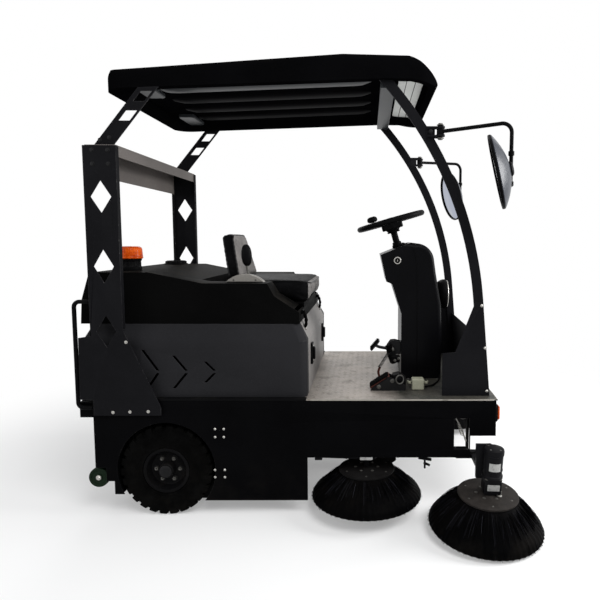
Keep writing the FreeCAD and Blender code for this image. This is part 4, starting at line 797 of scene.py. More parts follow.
class SWEEPER_OT_stage(bpy.types.Operator):
    """Pale floor, white surroundings, soft lamps and the camera"""
    bl_idname = "sweeper.stage"
    bl_label = "Stage"

    def execute(self, context):
        scene = context.scene
        scene.view_settings.view_transform = "Standard"
        form = Form("studio_floor")
        FINISHES["studio_floor"] = self.floor_paint()
        u = np.linspace(-9, 9, 7)
        x, y = np.meshgrid(u, u + 3, indexing="ij")
        form.add(joined(x, y, 0.0), quads(7, 7, False)[:, ::-1])
        floor = bpy.data.objects.new("studio_floor", form.mesh("studio_floor"))
        scene.collection.objects.link(floor)
        self.surroundings(scene)
        # name, place, height of the point it lights, diameter, power
        self.lamp("key_lamp", (1.9, -3.4, 4.6), 0.8, 3.2, 180)
        self.lamp("fill_lamp", (-3.8, -3.0, 2.6), 0.8, 3.0, 55)
        self.lamp("nose_lamp", (4.2, -0.2, 2.3), 0.9, 2.4, 190)
        self.lamp("back_lamp", (-1.2, 4.2, 4.2), 0.9, 3.0, 95)
        self.camera(scene)
        return {"FINISHED"}

    def floor_paint(self):
        """White paint that keeps a shadow: the lit floor, lifted to white by a little glow."""
        f = Finish("studio_floor", 0.9, Specular_IOR_Level=0.0)
        f.set("Base Color", f.blend(f.noise(1.5, 3.0), (0.86, 0.86, 0.86), (0.9, 0.9, 0.9)))
        flat = f.node("VectorMath", {"operation": "MULTIPLY"}, {0: f.place, 1: (1, 0.9, 0)})
        away = f.node("VectorMath", {"operation": "LENGTH"}, {0: flat}, "Value")
        direct, glossy, through = (f.node("LightPath", output=name) for name in SEEING_RAYS)
        seen = (direct + glossy + through).held()
        glow = f.node("Emission", {}, {"Color": (1, 1, 1), "Strength": 1.0})
        near = f.node("MixShader", {}, {0: 0.3, 1: Wire(f, f.shader.outputs[0]), 2: glow})
        far = f.node("MixShader", {}, {0: f.step(away, 1.4, 2.8) * seen, 1: near, 2: glow})
        f.tree.links.new(far.socket, f.out.inputs[0])
        return f.material

    def surroundings(self, scene):
        """White to the eye, and a softer, cooler light on the machine."""
        world = scene.world or bpy.data.worlds.new("surroundings")
        scene.world, world.use_nodes = world, True
        nodes, links = world.node_tree.nodes, world.node_tree.links
        nodes.clear()
        out, mix, path = (nodes.new("ShaderNode" + kind)
                          for kind in ("OutputWorld", "MixShader", "LightPath"))
        for socket, tone, strength in ((1, (0.97, 0.985, 1, 1), 0.36), (2, (1, 1, 1, 1), 1.0)):
            around = nodes.new("ShaderNodeBackground")
            around.inputs["Color"].default_value, around.inputs["Strength"].default_value = tone, strength
            links.new(around.outputs[0], mix.inputs[socket])
        rays = path.outputs[SEEING_RAYS[0]]
        for name in SEEING_RAYS[1:]:
            either = nodes.new("ShaderNodeMath")
            either.operation = "MAXIMUM"
            links.new(rays, either.inputs[0])
            links.new(path.outputs[name], either.inputs[1])
            rays = either.outputs[0]
        links.new(rays, mix.inputs[0])
        links.new(mix.outputs[0], out.inputs[0])

    def lamp(self, name, at, height, size, power):
        data = bpy.data.lights.new(name, "AREA")
        data.shape, data.size, data.energy = "DISK", size, power
        lamp = bpy.data.objects.new(name, data)
        lamp.location = at
        lamp.rotation_euler = (Vector((0, 0, height)) - Vector(at)).to_track_quat("-Z", "Y").to_euler()
        bpy.context.scene.collection.objects.link(lamp)

    def camera(self, scene):
        """Level eye 1.2 m up beside the machine: a small turn, a dip of five degrees and a sideways shift."""
        data = bpy.data.cameras.new("camera")
        sensor, focal_share = 36.0, 0.9027
        data.sensor_width, data.lens = sensor, sensor * focal_share
        data.shift_x, data.shift_y = -0.1223, -0.0181
        turn, dip, roll = 0.00963, 0.09111, 0.00283
        forward = np.array((math.sin(turn), math.cos(turn), 0))
        right = np.array((math.cos(turn), -math.sin(turn), 0))
        up = np.array((0, 0, 1.0))
        ahead = forward * math.cos(dip) - up * math.sin(dip)
        top = up * math.cos(dip) + forward * math.sin(dip)
        across = right * math.cos(roll) + top * math.sin(roll)
        top = top * math.cos(roll) - right * math.sin(roll)
        place = np.eye(4)
        place[:3, 0], place[:3, 1], place[:3, 2], place[:3, 3] = across, top, -ahead, (0.25, -2.8176, 1.2136)
        camera = bpy.data.objects.new("camera", data)
        camera.matrix_world = Matrix(place.tolist())
        scene.collection.objects.link(camera)
        scene.camera = camera


# ---------------------------------------------------------------- frame pieces

# node (a star: right and left), slot, finish, finish of its roundings, rounding (None: the usual fold)
FRAME_PIECES = [
    ("chassis_frame", "frame_black", "skirt_coat", "skirt_edge", None),
    ("side_skirt_*", "skirt_black", "skirt_coat", "skirt_edge", 0.0012),
    ("front_fascia", "skirt_black", "skirt_coat", "skirt_edge", 0.0012),
    ("tow_plate", "frame_black", "skirt_coat", "skirt_edge", None),
    ("rear_bumper", "frame_black", "skirt_coat", "skirt_edge", 0.004),
    ("body_panel_*", "body_grey", "body_coat", "body_edge", 0.0012),
    # the housing's front gets the paler lit grey, a painted highlight
    ("body_panel_front", "body_grey", "front_coat", "front_edge", 0.0012),
    ("body_panel_rear", "body_grey", "body_coat", "body_edge", 0.0012),
    ("battery_block", "battery_case", "battery_case", "battery_case", 0.004),
    ("rear_pillar_*", "frame_black", "pillar_coat", "pillar_edge", 0.0015),
    ("cross_beam", "beam_grey", "beam_coat", "beam_edge", 0.0015),
    ("strut_*", "frame_black", "pillar_coat", "pillar_edge", 0.0012),
    ("canopy", "canopy_plastic", "canopy_skin", "canopy_skin", 0.012),
    # the canopy bar wears the canopy's painted-highlight band finish
    ("canopy_bar", "canopy_plastic", "canopy_band", "canopy_band", 0.002),
    ("front_pillar_*", "frame_black", "pillar_coat", "pillar_edge", 0.002),
    ("front_panel", "frame_black", "pillar_coat", "pillar_edge", 0.0012),
    ("grab_rails", "bar_black", "black_plastic", "black_plastic", 0.001),
    ("steering_console", "body_grey", "console_skin", "console_skin", 0.006),
    ("steering_column", "bar_black", "black_plastic", "dark_steel", 0.001),
    ("rear_stub_axles", "frame_black", "skirt_coat", "skirt_edge", 0.0015),
    ("front_fork", "frame_black", "skirt_coat", "skirt_edge", 0.0025),
    ("dust_hopper", "frame_black", "skirt_coat", "skirt_edge", 0.0015),
    ("middle_arm_*", "frame_black", "motor_coat", "motor_edge", 0.0015),
    ("front_arm_*", "frame_black", "motor_coat", "motor_edge", 0.002),
    ("mirror_arm_*", "bar_black", "black_plastic", "black_plastic", 0.0008),
]


class SWEEPER_OT_frame_pieces(bpy.types.Operator):
    """Gives each sheet-metal and moulded piece of the frame its finish and its rounded edges"""
    bl_idname = "sweeper.frame_pieces"
    bl_label = "Frame pieces"

    def execute(self, context):
        for names, slot, main, edge, width in FRAME_PIECES:
            for node in [names.replace("*", name) for name, side in SIDES] if "*" in names else [names]:
                rounded(node, main, edge, width)
        rounded("hood", "hood_skin", "hood_skin", sizes().moulding, 4)
        plate = NODES["deck_plate"]
        plate.data.materials.clear()
        plate.data.materials.append(finish("deck_steel"))
        return {"FINISHED"}


class SWEEPER_OT_deck(bpy.types.Operator):
    """Raised lozenges on the deck and the rubbed steel strip round its edge"""
    bl_idname = "sweeper.deck"
    bl_label = "Deck"

    def execute(self, context):
        low, high = corners_of("deck_plate")
        long, pitch = sizes().lozenge / 2, 0.029
        rear = corners_of("body_panel_front")[1][0] + 0.022
        counts = int((high[0] - rear) / pitch), int(2 * high[1] / pitch)
        i, j = (index.ravel() for index in np.indices(counts))
        spots = joined(rear + (i + 0.4) * pitch, -high[1] + (j + 0.85) * pitch, high[2] - 0.0004)
        console, console_top = corners_of("steering_console")
        ahead, aside = spots[:, 0], np.abs(spots[:, 1])
        under_console = (ahead > console[0] + 0.05) & (ahead < console_top[0] + 0.02)
        under_console &= aside < console_top[1] + 0.012
        by_pillar = (aside > 0.41) & (ahead > 0.56)
        clear = ~under_console & ~by_pillar & (ahead < 0.75) & (aside < high[1] - 0.018)
        spots, way = spots[clear], (i + j)[clear] % 2
        wide, tall = 0.0028, 0.0011
        outline = joined((-long, -long / 2, long / 2, long, long / 2, -long / 2),
                         (0, -wide, -wide, 0, wide, wide))
        top = outline * (0.72, 0.45)
        points = np.concatenate((joined(*outline.T, 0), joined(*top.T, tall)))
        form = Form("deck_steel")
        turn = np.where(way, math.radians(45), math.radians(-45))
        places = facing(spots, UP, turn[:, None])
        form.repeat((points, quads(2, 6)), places)
        form.repeat((points, np.arange(6, 12)[None]), places)
        form.repeat((points, np.arange(5, -1, -1)[None]), places)
        form.make("deck_lozenges", "chassis", angle=20)
        trim = Form("deck_edge_steel")
        section = np.array(((-0.0022, -0.0028), (0.0006, -0.003), (0.001, 0.0022), (-0.0004, 0.003),
                            (-0.0026, 0.0026)))
        edge = high[2] - 0.0022
        run = [(rear - 0.004, low[1], edge), (high[0] - 0.012, low[1], edge), (high[0], low[1] + 0.012, edge),
               (high[0], high[1] - 0.012, edge), (high[0] - 0.012, high[1], edge),
               (rear - 0.004, high[1], edge)]
        trim.sweep(curved_path(run, 0.01), section)
        trim.make("deck_edge", "chassis")
        return {"FINISHED"}


class SWEEPER_OT_skirt_fittings(bpy.types.Operator):
    """Bolts, hooks, linkage, marker lights and the nose's fittings"""
    bl_idname = "sweeper.skirt_fittings"
    bl_label = "Skirt fittings"

    def execute(self, context):
        form = Form("dark_steel", "black_plastic", "zinc")
        lamps = Form("amber_lens", "black_plastic")
        low, high = corners_of("side_skirt_right")
        nose = corners_of("front_fascia")[1][0]
        for name, side in SIDES:
            face = side * abs(low[1])
            out = (0, side, 0)
            grid = [(x, face, z) for x in (-0.418, -0.38) for z in (0.388, 0.352)]
            grid += [(x, face, z) for x in (-0.422, -0.379) for z in (0.203, 0.17)]
            form.bolts(grid, out, 0.0038, 2, True)
            # hanger for the lifting hook: strap, eye and a crossed handle
            hook = face - side * 0.012
            form.tube([(0.49, hook, 0.262), (0.502, hook, 0.246), (0.5025, hook, 0.205)], 0.0045, 0.01, 10, 1)
            form.tube([(0.474, hook, 0.253), (0.531, hook, 0.244)], 0.0065, 0.001, 10, 1)
            form.tube([(0.498, hook, 0.23), (0.524, hook, 0.218)], 0.0055, 0.001, 10, 1)
            # linkage behind the window: two rods, a spring and a bracket
            inner = face - side * 0.04
            form.tube([(0.64, inner, 0.425), (0.668, inner, 0.375), (0.688, inner, 0.318)],
                      0.0035, 0.02, 8, 2)
            form.tube([(0.65, inner, 0.428), (0.672, inner - side * 0.01, 0.418), (0.69, inner, 0.425)],
                      0.004, 0.01, 8, 0)
            coil = spring_line((0.652, inner, 0.4), (0.02, 0, -0.055), 0.0065, 8, 60)
            form.sweep(coil, ring(0.0018, 6), (1, 0.2, 0.3), 2)
            # marker light on the front corner, in a rubber bezel
            lamp_at = placed((nose - 0.0005, side * 0.478, 0.453), AHEAD, LEFT)
            lamps.plate((0.048, 0.078, 0.012), 0.0, 0.01, 0.002, lamp_at, 1)
            lamps.plate((0.036, 0.064, 0.009), 0.009, 0.0205, 0.005, lamp_at, 0)
            form.bolts([(nose, side * 0.478, 0.501), (nose, side * 0.478, 0.4)], AHEAD, 0.0055, 0, True)
        form.bolts([(nose, y, 0.49) for y in (-0.33, 0.33)], AHEAD, 0.007, 0, True)
        form.bolts([(nose + 0.0085, y, 0.455) for y in (-0.024, 0.024)], AHEAD, 0.008, 2)
        form.make("skirt_bolts_and_hooks", "chassis")
        lamps.make("marker_lights", "chassis")
        return {"FINISHED"}


class SWEEPER_OT_body_fittings(bpy.types.Operator):
    """Latches, hinges, screws and the dark plates behind the housing's slots, whose black is painted shade"""
    bl_idname = "sweeper.body_fittings"
    bl_label = "Body fittings"

    def execute(self, context):
        front = corners_of("body_panel_front")[1]
        rear = corners_of("body_panel_rear")[0]
        form = Form("black_plastic", "dark_steel", "zinc")
        latch = facing([(front[0], -0.29, 0.68), (front[0], 0.29, 0.68)], AHEAD, 0.0, LEFT)
        for place in latch:
            form.plate((0.052, 0.1, 0.008), -0.001, 0.01, 0.002, place, 0)
            form.plate((0.026, 0.06, 0.007), 0.009, 0.02, 0.004, place, 0)
        form.bolts([(front[0] + 0.0095, y, z) for y in (-0.29, 0.29) for z in (0.644, 0.716)], AHEAD, 0.004,
                   2, True)
        hinge = facing([(rear[0], y, 0.6) for y in (-0.26, 0.26)], (-1, 0, 0), 0.0, LEFT)
        for place in hinge:
            form.plate((0.06, 0.09, 0.006), -0.001, 0.004, 0.001, place, 1)
        leaf = [(rear[0] - 0.004, y + dy, z)
                for y in (-0.26, 0.26) for dy in (-0.018, 0.018) for z in (0.57, 0.63)]
        form.bolts(leaf, (-1, 0, 0), 0.0045, 2, True)
        # louvres in the rear panel: five long half-round ribs
        t = np.linspace(0, math.pi, 9)
        half_round = joined(0.007 * np.cos(t), 0.0055 * np.sin(t))
        rib = np.concatenate((half_round, [(-0.007, -0.002), (0.007, -0.002)]))
        for z in np.arange(0.64, 0.74, 0.022):
            form.sweep([(rear[0], -0.18, z), (rear[0], 0.18, z)], rib, (-1, 0, 0), 0)
        for name, side in SIDES:
            # a sill strip beside the housing, a black backing plate behind its slots as painted shade for the
            # housing's inside, and the wheel well's inner wall
            sill = placed((-0.504, side * 0.499, 0), UP)
            form.plate((0.97, 0.0275, 0.003), 0.5138, 0.5235, 0.001, sill, 0)
            # painted shade: a black sheet behind the slots, standing for the shade inside the housing
            place = placed((-0.56, side * 0.44, 0.635), (0, side, 0), AHEAD)
            form.plate((0.36, 0.225, 0.01), -0.002, 0.0, 0, place, 0)
            wall = np.array(((-0.869, 0.076), (-0.8, 0.046), (-0.58, 0.046), (-0.57, 0.022), (-0.475, 0.022),
                             (-0.46, 0.046), (-0.4, 0.046), (-0.4, 0.455), (-0.869, 0.455))) * (1, -side)
            form.block(wall, -0.003, 0.0, 0, placed((0, side * 0.404, 0), (0, side, 0), AHEAD), 0)
            # a liner round the arch: an arc about the axle, reaching inwards from the skirt
            turn = np.radians(np.linspace(-36, 208, 62))
            outwards = joined(np.cos(turn), 0.0, np.sin(turn))
            wide, thick = 0.0365, 0.0013
            section = [(-wide, -thick), (wide, -thick), (wide, thick), (-wide, thick)]
            form.sweep(np.array((-0.635, side * 0.47, 0.2)) + 0.2172 * outwards, section, outwards, 0)
        form.make("body_fittings", "chassis")
        return {"FINISHED"}


class SWEEPER_OT_cage_fittings(bpy.types.Operator):
    """Bolts of the pillars, struts, gussets and canopy, and the canopy's channels"""
    bl_idname = "sweeper.cage_fittings"
    bl_label = "Cage fittings"

    def execute(self, context):
        form = Form("zinc", "black_steel")
        for name, side in SIDES:
            face, out = side * 0.524, (0, side, 0)
            form.bolts([(x, face, z) for x in (-0.894, -0.829) for z in (1.58, 1.523)], out, 0.0068, 1)
            foot = ((-0.852, 0.4665), (-0.779, 0.4685), (-0.7, 0.47), (-0.7844, 0.774))
            form.bolts([(x, face, z) for x, z in foot], out, 0.0048, 0)
            form.bolts([(x, side * 0.47, z) for x, z in ((-0.885, 1.63), (-0.845, 1.64))], out, 0.0065, 1)
            gusset = ((0.7505, 0.9255), (0.7695, 0.737), (0.781, 0.542))
            form.bolts([(x, side * 0.455, z) for x, z in gusset], out, 0.0046, 0, True)
            form.bolts([(0.515, side * 0.466, 1.672)], out, 0.0065, 1)
        form.make("cage_bolts", "chassis", angle=40)
        self.canopy_lining()
        return {"FINISHED"}

    def canopy_lining(self):
        """Channels pressed into the canopy's ceiling, a pale panel in its nose and brackets; one channel and
        the brackets wear a paler finish as a painted highlight.
        """
        low, high = corners_of("canopy")
        form = Form("canopy_lining", "canopy_pale", "canopy_band")
        tail_rise, nose_rise, nose_start = 0.042, 0.095, 0.3

        def under(x):
            """Height of the ceiling, which rises evenly from the tail to where the nose starts."""
            return low[2] + tail_rise + (x - low[0]) * (nose_rise - tail_rise) / (nose_start - low[0])

        t = np.linspace(0, math.pi, 11)
        bulge = joined(0.052 * np.cos(t), -0.018 * np.sin(t) ** 0.6)
        swell = np.concatenate((bulge, [(-0.052, 0.004), (0.052, 0.004)]))
        for y in (-0.285, -0.095, 0.095, 0.285):
            x = np.linspace(-0.7, 0.262, 24)
            path = joined(x, y, under(x))
            ease = np.clip(np.minimum(x + 0.7, 0.262 - x) / 0.05, 0.15, 1) ** 0.5
            # the channel at y -0.285 gets the paler band finish, a painted highlight; the others the dark
            # lining
            form.sweep(path, swell[::-1], UP, 2 if y < -0.2 else 0, scale=ease)
        # brackets from the struts to the ceiling, in the paler band finish as a painted highlight, and the
        # pale panel with two dark ribs
        for name, side in SIDES:
            place = placed((-0.74, side * 0.3, under(-0.74) - 0.02), UP)
            form.plate((0.085, 0.21, 0.02), 0.0, 0.02, 0.004, place, 2)
        fall = math.atan2(-0.0143, 0.2)
        for x, wide, drop, mark in (
                (0.4425, 0.113, 0.0, 1), (0.4225, 0.003, 0.0012, 0), (0.4625, 0.003, 0.0012, 0)):
            height = 1.9325 - (x - nose_start) * 0.0715 - drop
            panel = placed((x, 0, height), (-math.sin(fall), 0, math.cos(fall)), AHEAD)
            form.plate((wide, 0.8, wide * 0.2), 0.0, 0.005, 0.0008, panel, mark)
        form.make("canopy_lining", "chassis", angle=40)


# ---------------------------------------------------------------- hood, beacon and lever

class SWEEPER_OT_hood_fittings(bpy.types.Operator):
    """Rubber latches, filler cap, beacon and brush lever on the hood"""
    bl_idname = "sweeper.hood_fittings"
    bl_label = "Hood fittings"

    def execute(self, context):
        front = corners_of("hood")[1][0]
        form = Form("tyre_rubber", "zinc", "black_plastic")
        t = np.linspace(0, 1, 26)
        section = np.array(((-0.0165, -0.004), (0.0165, -0.004), (0.0165, 0.004), (0.012, 0.007),
                            (-0.012, 0.007), (-0.0165, 0.004)))
        for name, side in SIDES:
            y = side * 0.356
            path = joined(front + 0.006 + 0.01 * np.sin(t * math.pi) + 0.006 * t, y, 0.888 - 0.084 * t)
            form.sweep(path, section, AHEAD, 0, scale=1 + 0.14 * np.cos(t * TURN * 4))
            anchor = placed((front + 0.0015, y, 0.884), (1, 0, 0.1), LEFT)
            form.plate((0.034, 0.02, 0.004), -0.002, 0.008, 0.002, anchor, 2)
            form.tube([(front + 0.018, y - 0.016, 0.809), (front + 0.018, y + 0.016, 0.809)], 0.0042, 0.001,
                      10, 1)
        deck = corners_of("hood")[1][2]
        cap_x, cap_y = -0.88, 0.38
        cap = placed((cap_x, cap_y, deck - 0.0005), UP)
        form.lathe([(0, 0), (0.066, 0), (0.066, 0.004), (0.058, 0.007), (0.056, 0.017), (0.05, 0.021),
                    (0.02, 0.022), (0, 0.019)], cap, 48, 2)
        grips = facing(round_spots(0.0565, deck + 0.0065, 12, 0, cap_x, cap_y), UP)
        form.repeat(turned([(0, 0), (0.004, 0), (0.004, 0.009), (0.002, 0.011), (0, 0.011)], 8), grips, 2)
        form.make("hood_latches_and_cap", "hood")
        self.beacon()
        self.lever()
        return {"FINISHED"}

    def beacon(self):
        """Fluted amber dome: radius rises and falls with the turn; below it a ribbed black foot."""
        low, high = corners_of("beacon_lens")
        foot, _ = corners_of("beacon_base")
        x, y = (low[0] + high[0]) / 2, (low[1] + high[1]) / 2
        r, h = (high[0] - low[0]) / 2, high[2] - low[2]
        profile = np.array([(0.93, 0.0), (0.985, 0.02), (1.0, 0.06), (1.0, 0.14), (0.985, 0.17),
                            (0.975, 0.3), (0.955, 0.62), (0.93, 0.8), (0.86, 0.92), (0.7, 0.985),
                            (0.35, 1.0)])
        count = 144
        t = np.arange(count) * TURN / count
        rows = np.concatenate(([(0.0, 0.0)], profile, [(0.0, 1.0)]))
        rise = rows[:, 1:]
        share = np.clip((rise - 0.16) * 12, 0, 1) * np.clip((0.95 - rise) * 12, 0, 1)
        radius = rows[:, :1] * r * (1 - 0.016 * (0.5 + 0.5 * np.cos(36 * t)) * share)
        grid = joined(x + radius * np.cos(t), y + radius * np.sin(t), low[2] + rise * h)
        lens = Form("amber_lens")
        lens.add(grid, quads(len(rows), count))
        lens.make("beacon_dome", "hood", ["beacon_lens"], 50)
        base = Form("black_plastic", "dark_steel")
        place = placed((x, y, foot[2]), UP)
        b, tall = r - 0.006, low[2] - foot[2]
        base.lathe([(b * 0.98, 0), (b, 0.004), (b, 0.016), (b * 0.94, 0.019), (b * 0.9, 0.024),
                    (b * 0.9, tall - 0.012), (b * 0.97, tall - 0.009), (b, tall - 0.004),
                    (b, tall - 0.0004)], place, 64, 0)
        ribs = facing(round_spots(b * 0.905, foot[2] + 0.021, 24, 0, x, y), UP)
        base.repeat(turned([(0, 0), (0.0016, 0), (0.0016, tall - 0.032), (0, tall - 0.032)], 6), ribs, 0)
        base.make("beacon_foot", "hood", ["beacon_base"])

    def lever(self):
        """A steel stem with an oval grip, in a slotted sheet-metal quadrant (an arc on its chord)."""
        low, high = corners_of("brush_lever")
        form = Form("black_plastic", "dark_steel", "quadrant_grey")
        x, y = (low[0] + high[0]) / 2, (low[1] + high[1]) / 2
        chord, rise, base = (high[0] - low[0]) / 2, 0.036, low[2]
        radius = (chord ** 2 + rise ** 2) / (2 * rise)
        reach = math.asin(chord / radius)
        t = np.linspace(-reach, reach, 34)
        # the bowed sheet, then the dark slot along it, a little above and short of its ends
        for lift, ends, half, mark in ((0.0, 0, 0.0205, 2), (0.001, 2, 0.0055, 1)):
            bow, a = radius - 0.0012 + lift, t[ends:len(t) - ends]
            arc = joined(x + bow * np.sin(a), y, base + rise - radius + bow * np.cos(a))
            form.sweep(arc, rounded_plan(2 * half, 0.0022, 0.0008, 2), UP, mark)
        for side in (-1, 1):
            cheek = joined(radius * np.sin(t[1:-1]), rise - radius + radius * np.cos(t[1:-1]) - 0.0012)
            place = placed((x, y + side * 0.0205 - 0.001, base), RIGHT, AHEAD)
            form.block(cheek[::-1], 0.0, 0.002, 0, place, 2)
        form.bolts([(x + dx, y - 0.0222, base + 0.01) for dx in (-0.05, 0.05)], RIGHT, 0.0048, 1, True)
        foot, head = np.array((x + 0.014, y, base + 0.004)), np.array((x + 0.0065, y, base + 0.095))
        stem = placed(foot, head - foot)
        form.lathe([(0.0062, 0), (0.0062, 0.09)], stem, 16, 1)
        s = np.linspace(0, math.pi, 22)
        grip = placed((x + 0.006, y, high[2] - 0.0513), (-0.06, 0, 1))
        oval = joined(0.0236 * np.sin(s) ** 0.8, -0.05 * np.cos(s))
        form.lathe(oval[1:-1], grip, 28, 0)
        form.make("brush_lever_grip", "hood", ["brush_lever"], 45)


# ---------------------------------------------------------------- seat

class SWEEPER_OT_seat(bpy.types.Operator):
    """Padded cushion and back: blown up as cloth from the frame's solids, held along their piped seams"""
    bl_idname = "sweeper.seat"
    bl_label = "Seat"

    def execute(self, context):
        self.pad("seat_cushion", self.cushion_seams(), 0.0055, 0.011, "cushion_vinyl")
        self.pad("seat_back", self.back_seams(), 0.005, 0.007, "back_vinyl")
        return {"FINISHED"}

    def cushion_seams(self):
        """The seam round the top's rim, and the two upright seams where the front panel meets the sides."""
        low, high = corners_of("seat_cushion")
        plan = rounded_plan(high[0] - low[0] - 0.012, high[1] - low[1] - 0.012, 0.054, 8)
        rim = joined(plan[:, 0] + (high[0] + low[0]) / 2, plan[:, 1], high[2] - 0.012)
        rim[:, 2] -= 0.012 * np.clip((rim[:, 0] - high[0] + 0.05) / 0.05, 0, 1)
        seams = [(resample(np.concatenate((rim, rim[:1])), 260), True)]
        for side in (-1, 1):
            y = side * (high[1] - 0.0155)
            upright = np.array([(-0.036, y, low[2] + 0.008), (-0.036, y, high[2] - 0.026)])
            seams.append((resample(upright, 30), False))
        return seams

    def back_seams(self):
        """Two seams round the edge: one where the front panel ends, one where the rear panel begins."""
        low, high = corners_of("seat_back")
        half = np.array([(0.196, 0.004), (0.1935, 0.02), (0.136, 0.183), (0.118, 0.204), (0.098, 0.2115)])
        outline = np.concatenate((half * (-1, 1), half[::-1]))
        run = curved_path(outline, 0.022, 6)
        lean = (-0.408 + 0.362) / 0.196
        seams = []
        for start in (-0.374, -0.4215):
            rake = np.clip(run[:, 1], 0, 0.192)
            rim = joined(start + lean * rake, run[:, 0], low[2] + run[:, 1])
            seams.append((resample(rim, 200), False))
        return seams

    def pad(self, node, seams, shrink, cap, vinyl):
        """A copy drawn in a little, remeshed, then swollen by cloth pressure, no point going past the cap.

        The points near the seams are pinned, so that the panels crown between them.
        """
        mesh = NODES[node].data.copy()
        tidy(mesh)
        piece = bpy.data.objects.new(node + "_padded", mesh)
        bpy.context.scene.collection.objects.link(piece)
        co = self.places(piece)
        middle = (co.min(0) + co.max(0)) / 2
        half = (co.max(0) - co.min(0)) / 2
        co = middle + (co - middle) * (half - shrink) / half
        mesh.vertices.foreach_set("co", co.astype(np.float32).ravel())
        remesh = piece.modifiers.new("Remesh", "REMESH")
        remesh.mode, remesh.voxel_size = "VOXEL", 0.005
        relax = piece.modifiers.new("Smooth", "SMOOTH")
        relax.factor, relax.iterations = 0.5, 4
        self.apply(piece)
        now = start = self.places(piece)
        guides = np.concatenate([path for path, closed in seams])
        far = np.full(len(start), np.inf)
        for part in np.array_split(guides, 12):
            far = np.minimum(far, np.sqrt(((start[:, None] - part[None]) ** 2).sum(2).min(1)))
        pins = piece.vertex_groups.new(name="seams")
        pins.add(np.nonzero(far < 0.009)[0].tolist(), 1.0, "REPLACE")
        cloth = piece.modifiers.new("Cloth", "CLOTH")
        s = cloth.settings
        s.quality, s.mass, s.use_pressure, s.uniform_pressure_force = 5, 0.35, True, 4.0
        s.tension_stiffness, s.compression_stiffness = 22, 22
        s.shear_stiffness, s.bending_stiffness = 12, 0.6
        s.effector_weights.gravity = 0
        s.vertex_group_mass = "seams"
        cloth.collision_settings.use_collision = False
        for tick in range(1, 21):
            bpy.context.scene.frame_set(tick)
        self.apply(piece)
        bpy.context.scene.frame_set(1)
        shift = self.places(piece) - start
        reach = np.linalg.norm(shift, axis=1, keepdims=True)
        now = start + shift * np.minimum(1, cap / np.maximum(reach, 1e-9))
        # keep inside the frame's own box for this pad, with the little that vinyl may stand proud
        low, high = corners_of(node)
        now = np.minimum(np.maximum(now, low - 0.004), high + 0.006)
        now[:, 2] = np.maximum(now[:, 2], low[2] + 0.0006)
        piece.data.vertices.foreach_set("co", now.astype(np.float32).ravel())
        piece.data.update()
        piece.data.materials.clear()
        piece.data.materials.append(finish(vinyl))
        piece.data.shade_smooth()
        finer = piece.modifiers.new("Subdivision", "SUBSURF")
        finer.levels = finer.render_levels = 1
        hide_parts(node)
        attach(piece, "hood")
        self.piping(node, now, seams)

    def apply(self, piece):
        graph = bpy.context.evaluated_depsgraph_get()
        graph.update()
        baked = bpy.data.meshes.new_from_object(piece.evaluated_get(graph))
        piece.modifiers.clear()
        piece.data = baked

    def places(self, piece):
        co = np.empty(len(piece.data.vertices) * 3, np.float32)
        piece.data.vertices.foreach_get("co", co)
        return co.reshape(-1, 3).astype(float)

    def piping(self, node, skin, seams):
        """Each seam's points moved to the pad's nearest ones, evened out, and swept with a round cord."""
        form = Form("piping_vinyl")
        kernel = np.array((0.1, 0.2, 0.4, 0.2, 0.1))
        for path, closed in seams:
            near = skin[((path[:, None] - skin[None]) ** 2).sum(2).argmin(1)]
            before, after = (near[-3:-1], near[1:3]) if closed else (near[[0, 0]], near[[-1, -1]])
            line = np.concatenate((before, near, after))
            line = np.stack([np.convolve(line[:, k], kernel, "valid") for k in range(3)], 1)
            up = (0.02, 0.05, 1) if closed else (1, 0.02, 0.05)
            form.sweep(line[:-1] if closed else line, ring(sizes().piping, 10), up, 0, closed)
        form.make(node + "_piping", "hood", angle=60)


def resample(path, count):
    """Even steps along a line: each coordinate read off against the length run so far."""
    run = np.concatenate(([0], np.cumsum(np.linalg.norm(np.diff(path, axis=0), axis=1))))
    t = np.linspace(0, run[-1], count)
    return np.stack([np.interp(t, run, path[:, k]) for k in range(3)], 1)


# ---------------------------------------------------------------- steering, lamp and pedals

def steering_place():
    """The steering wheel's own axes: X up its rake, Z along the column."""
    rake = math.radians(16)
    place = np.eye(4)
    place[:3, 0] = (math.cos(rake), 0, math.sin(rake))
    place[:3, 2] = (-math.sin(rake), 0, math.cos(rake))
    place[:3, 3] = (0.366, 0, 1.308)
    return place


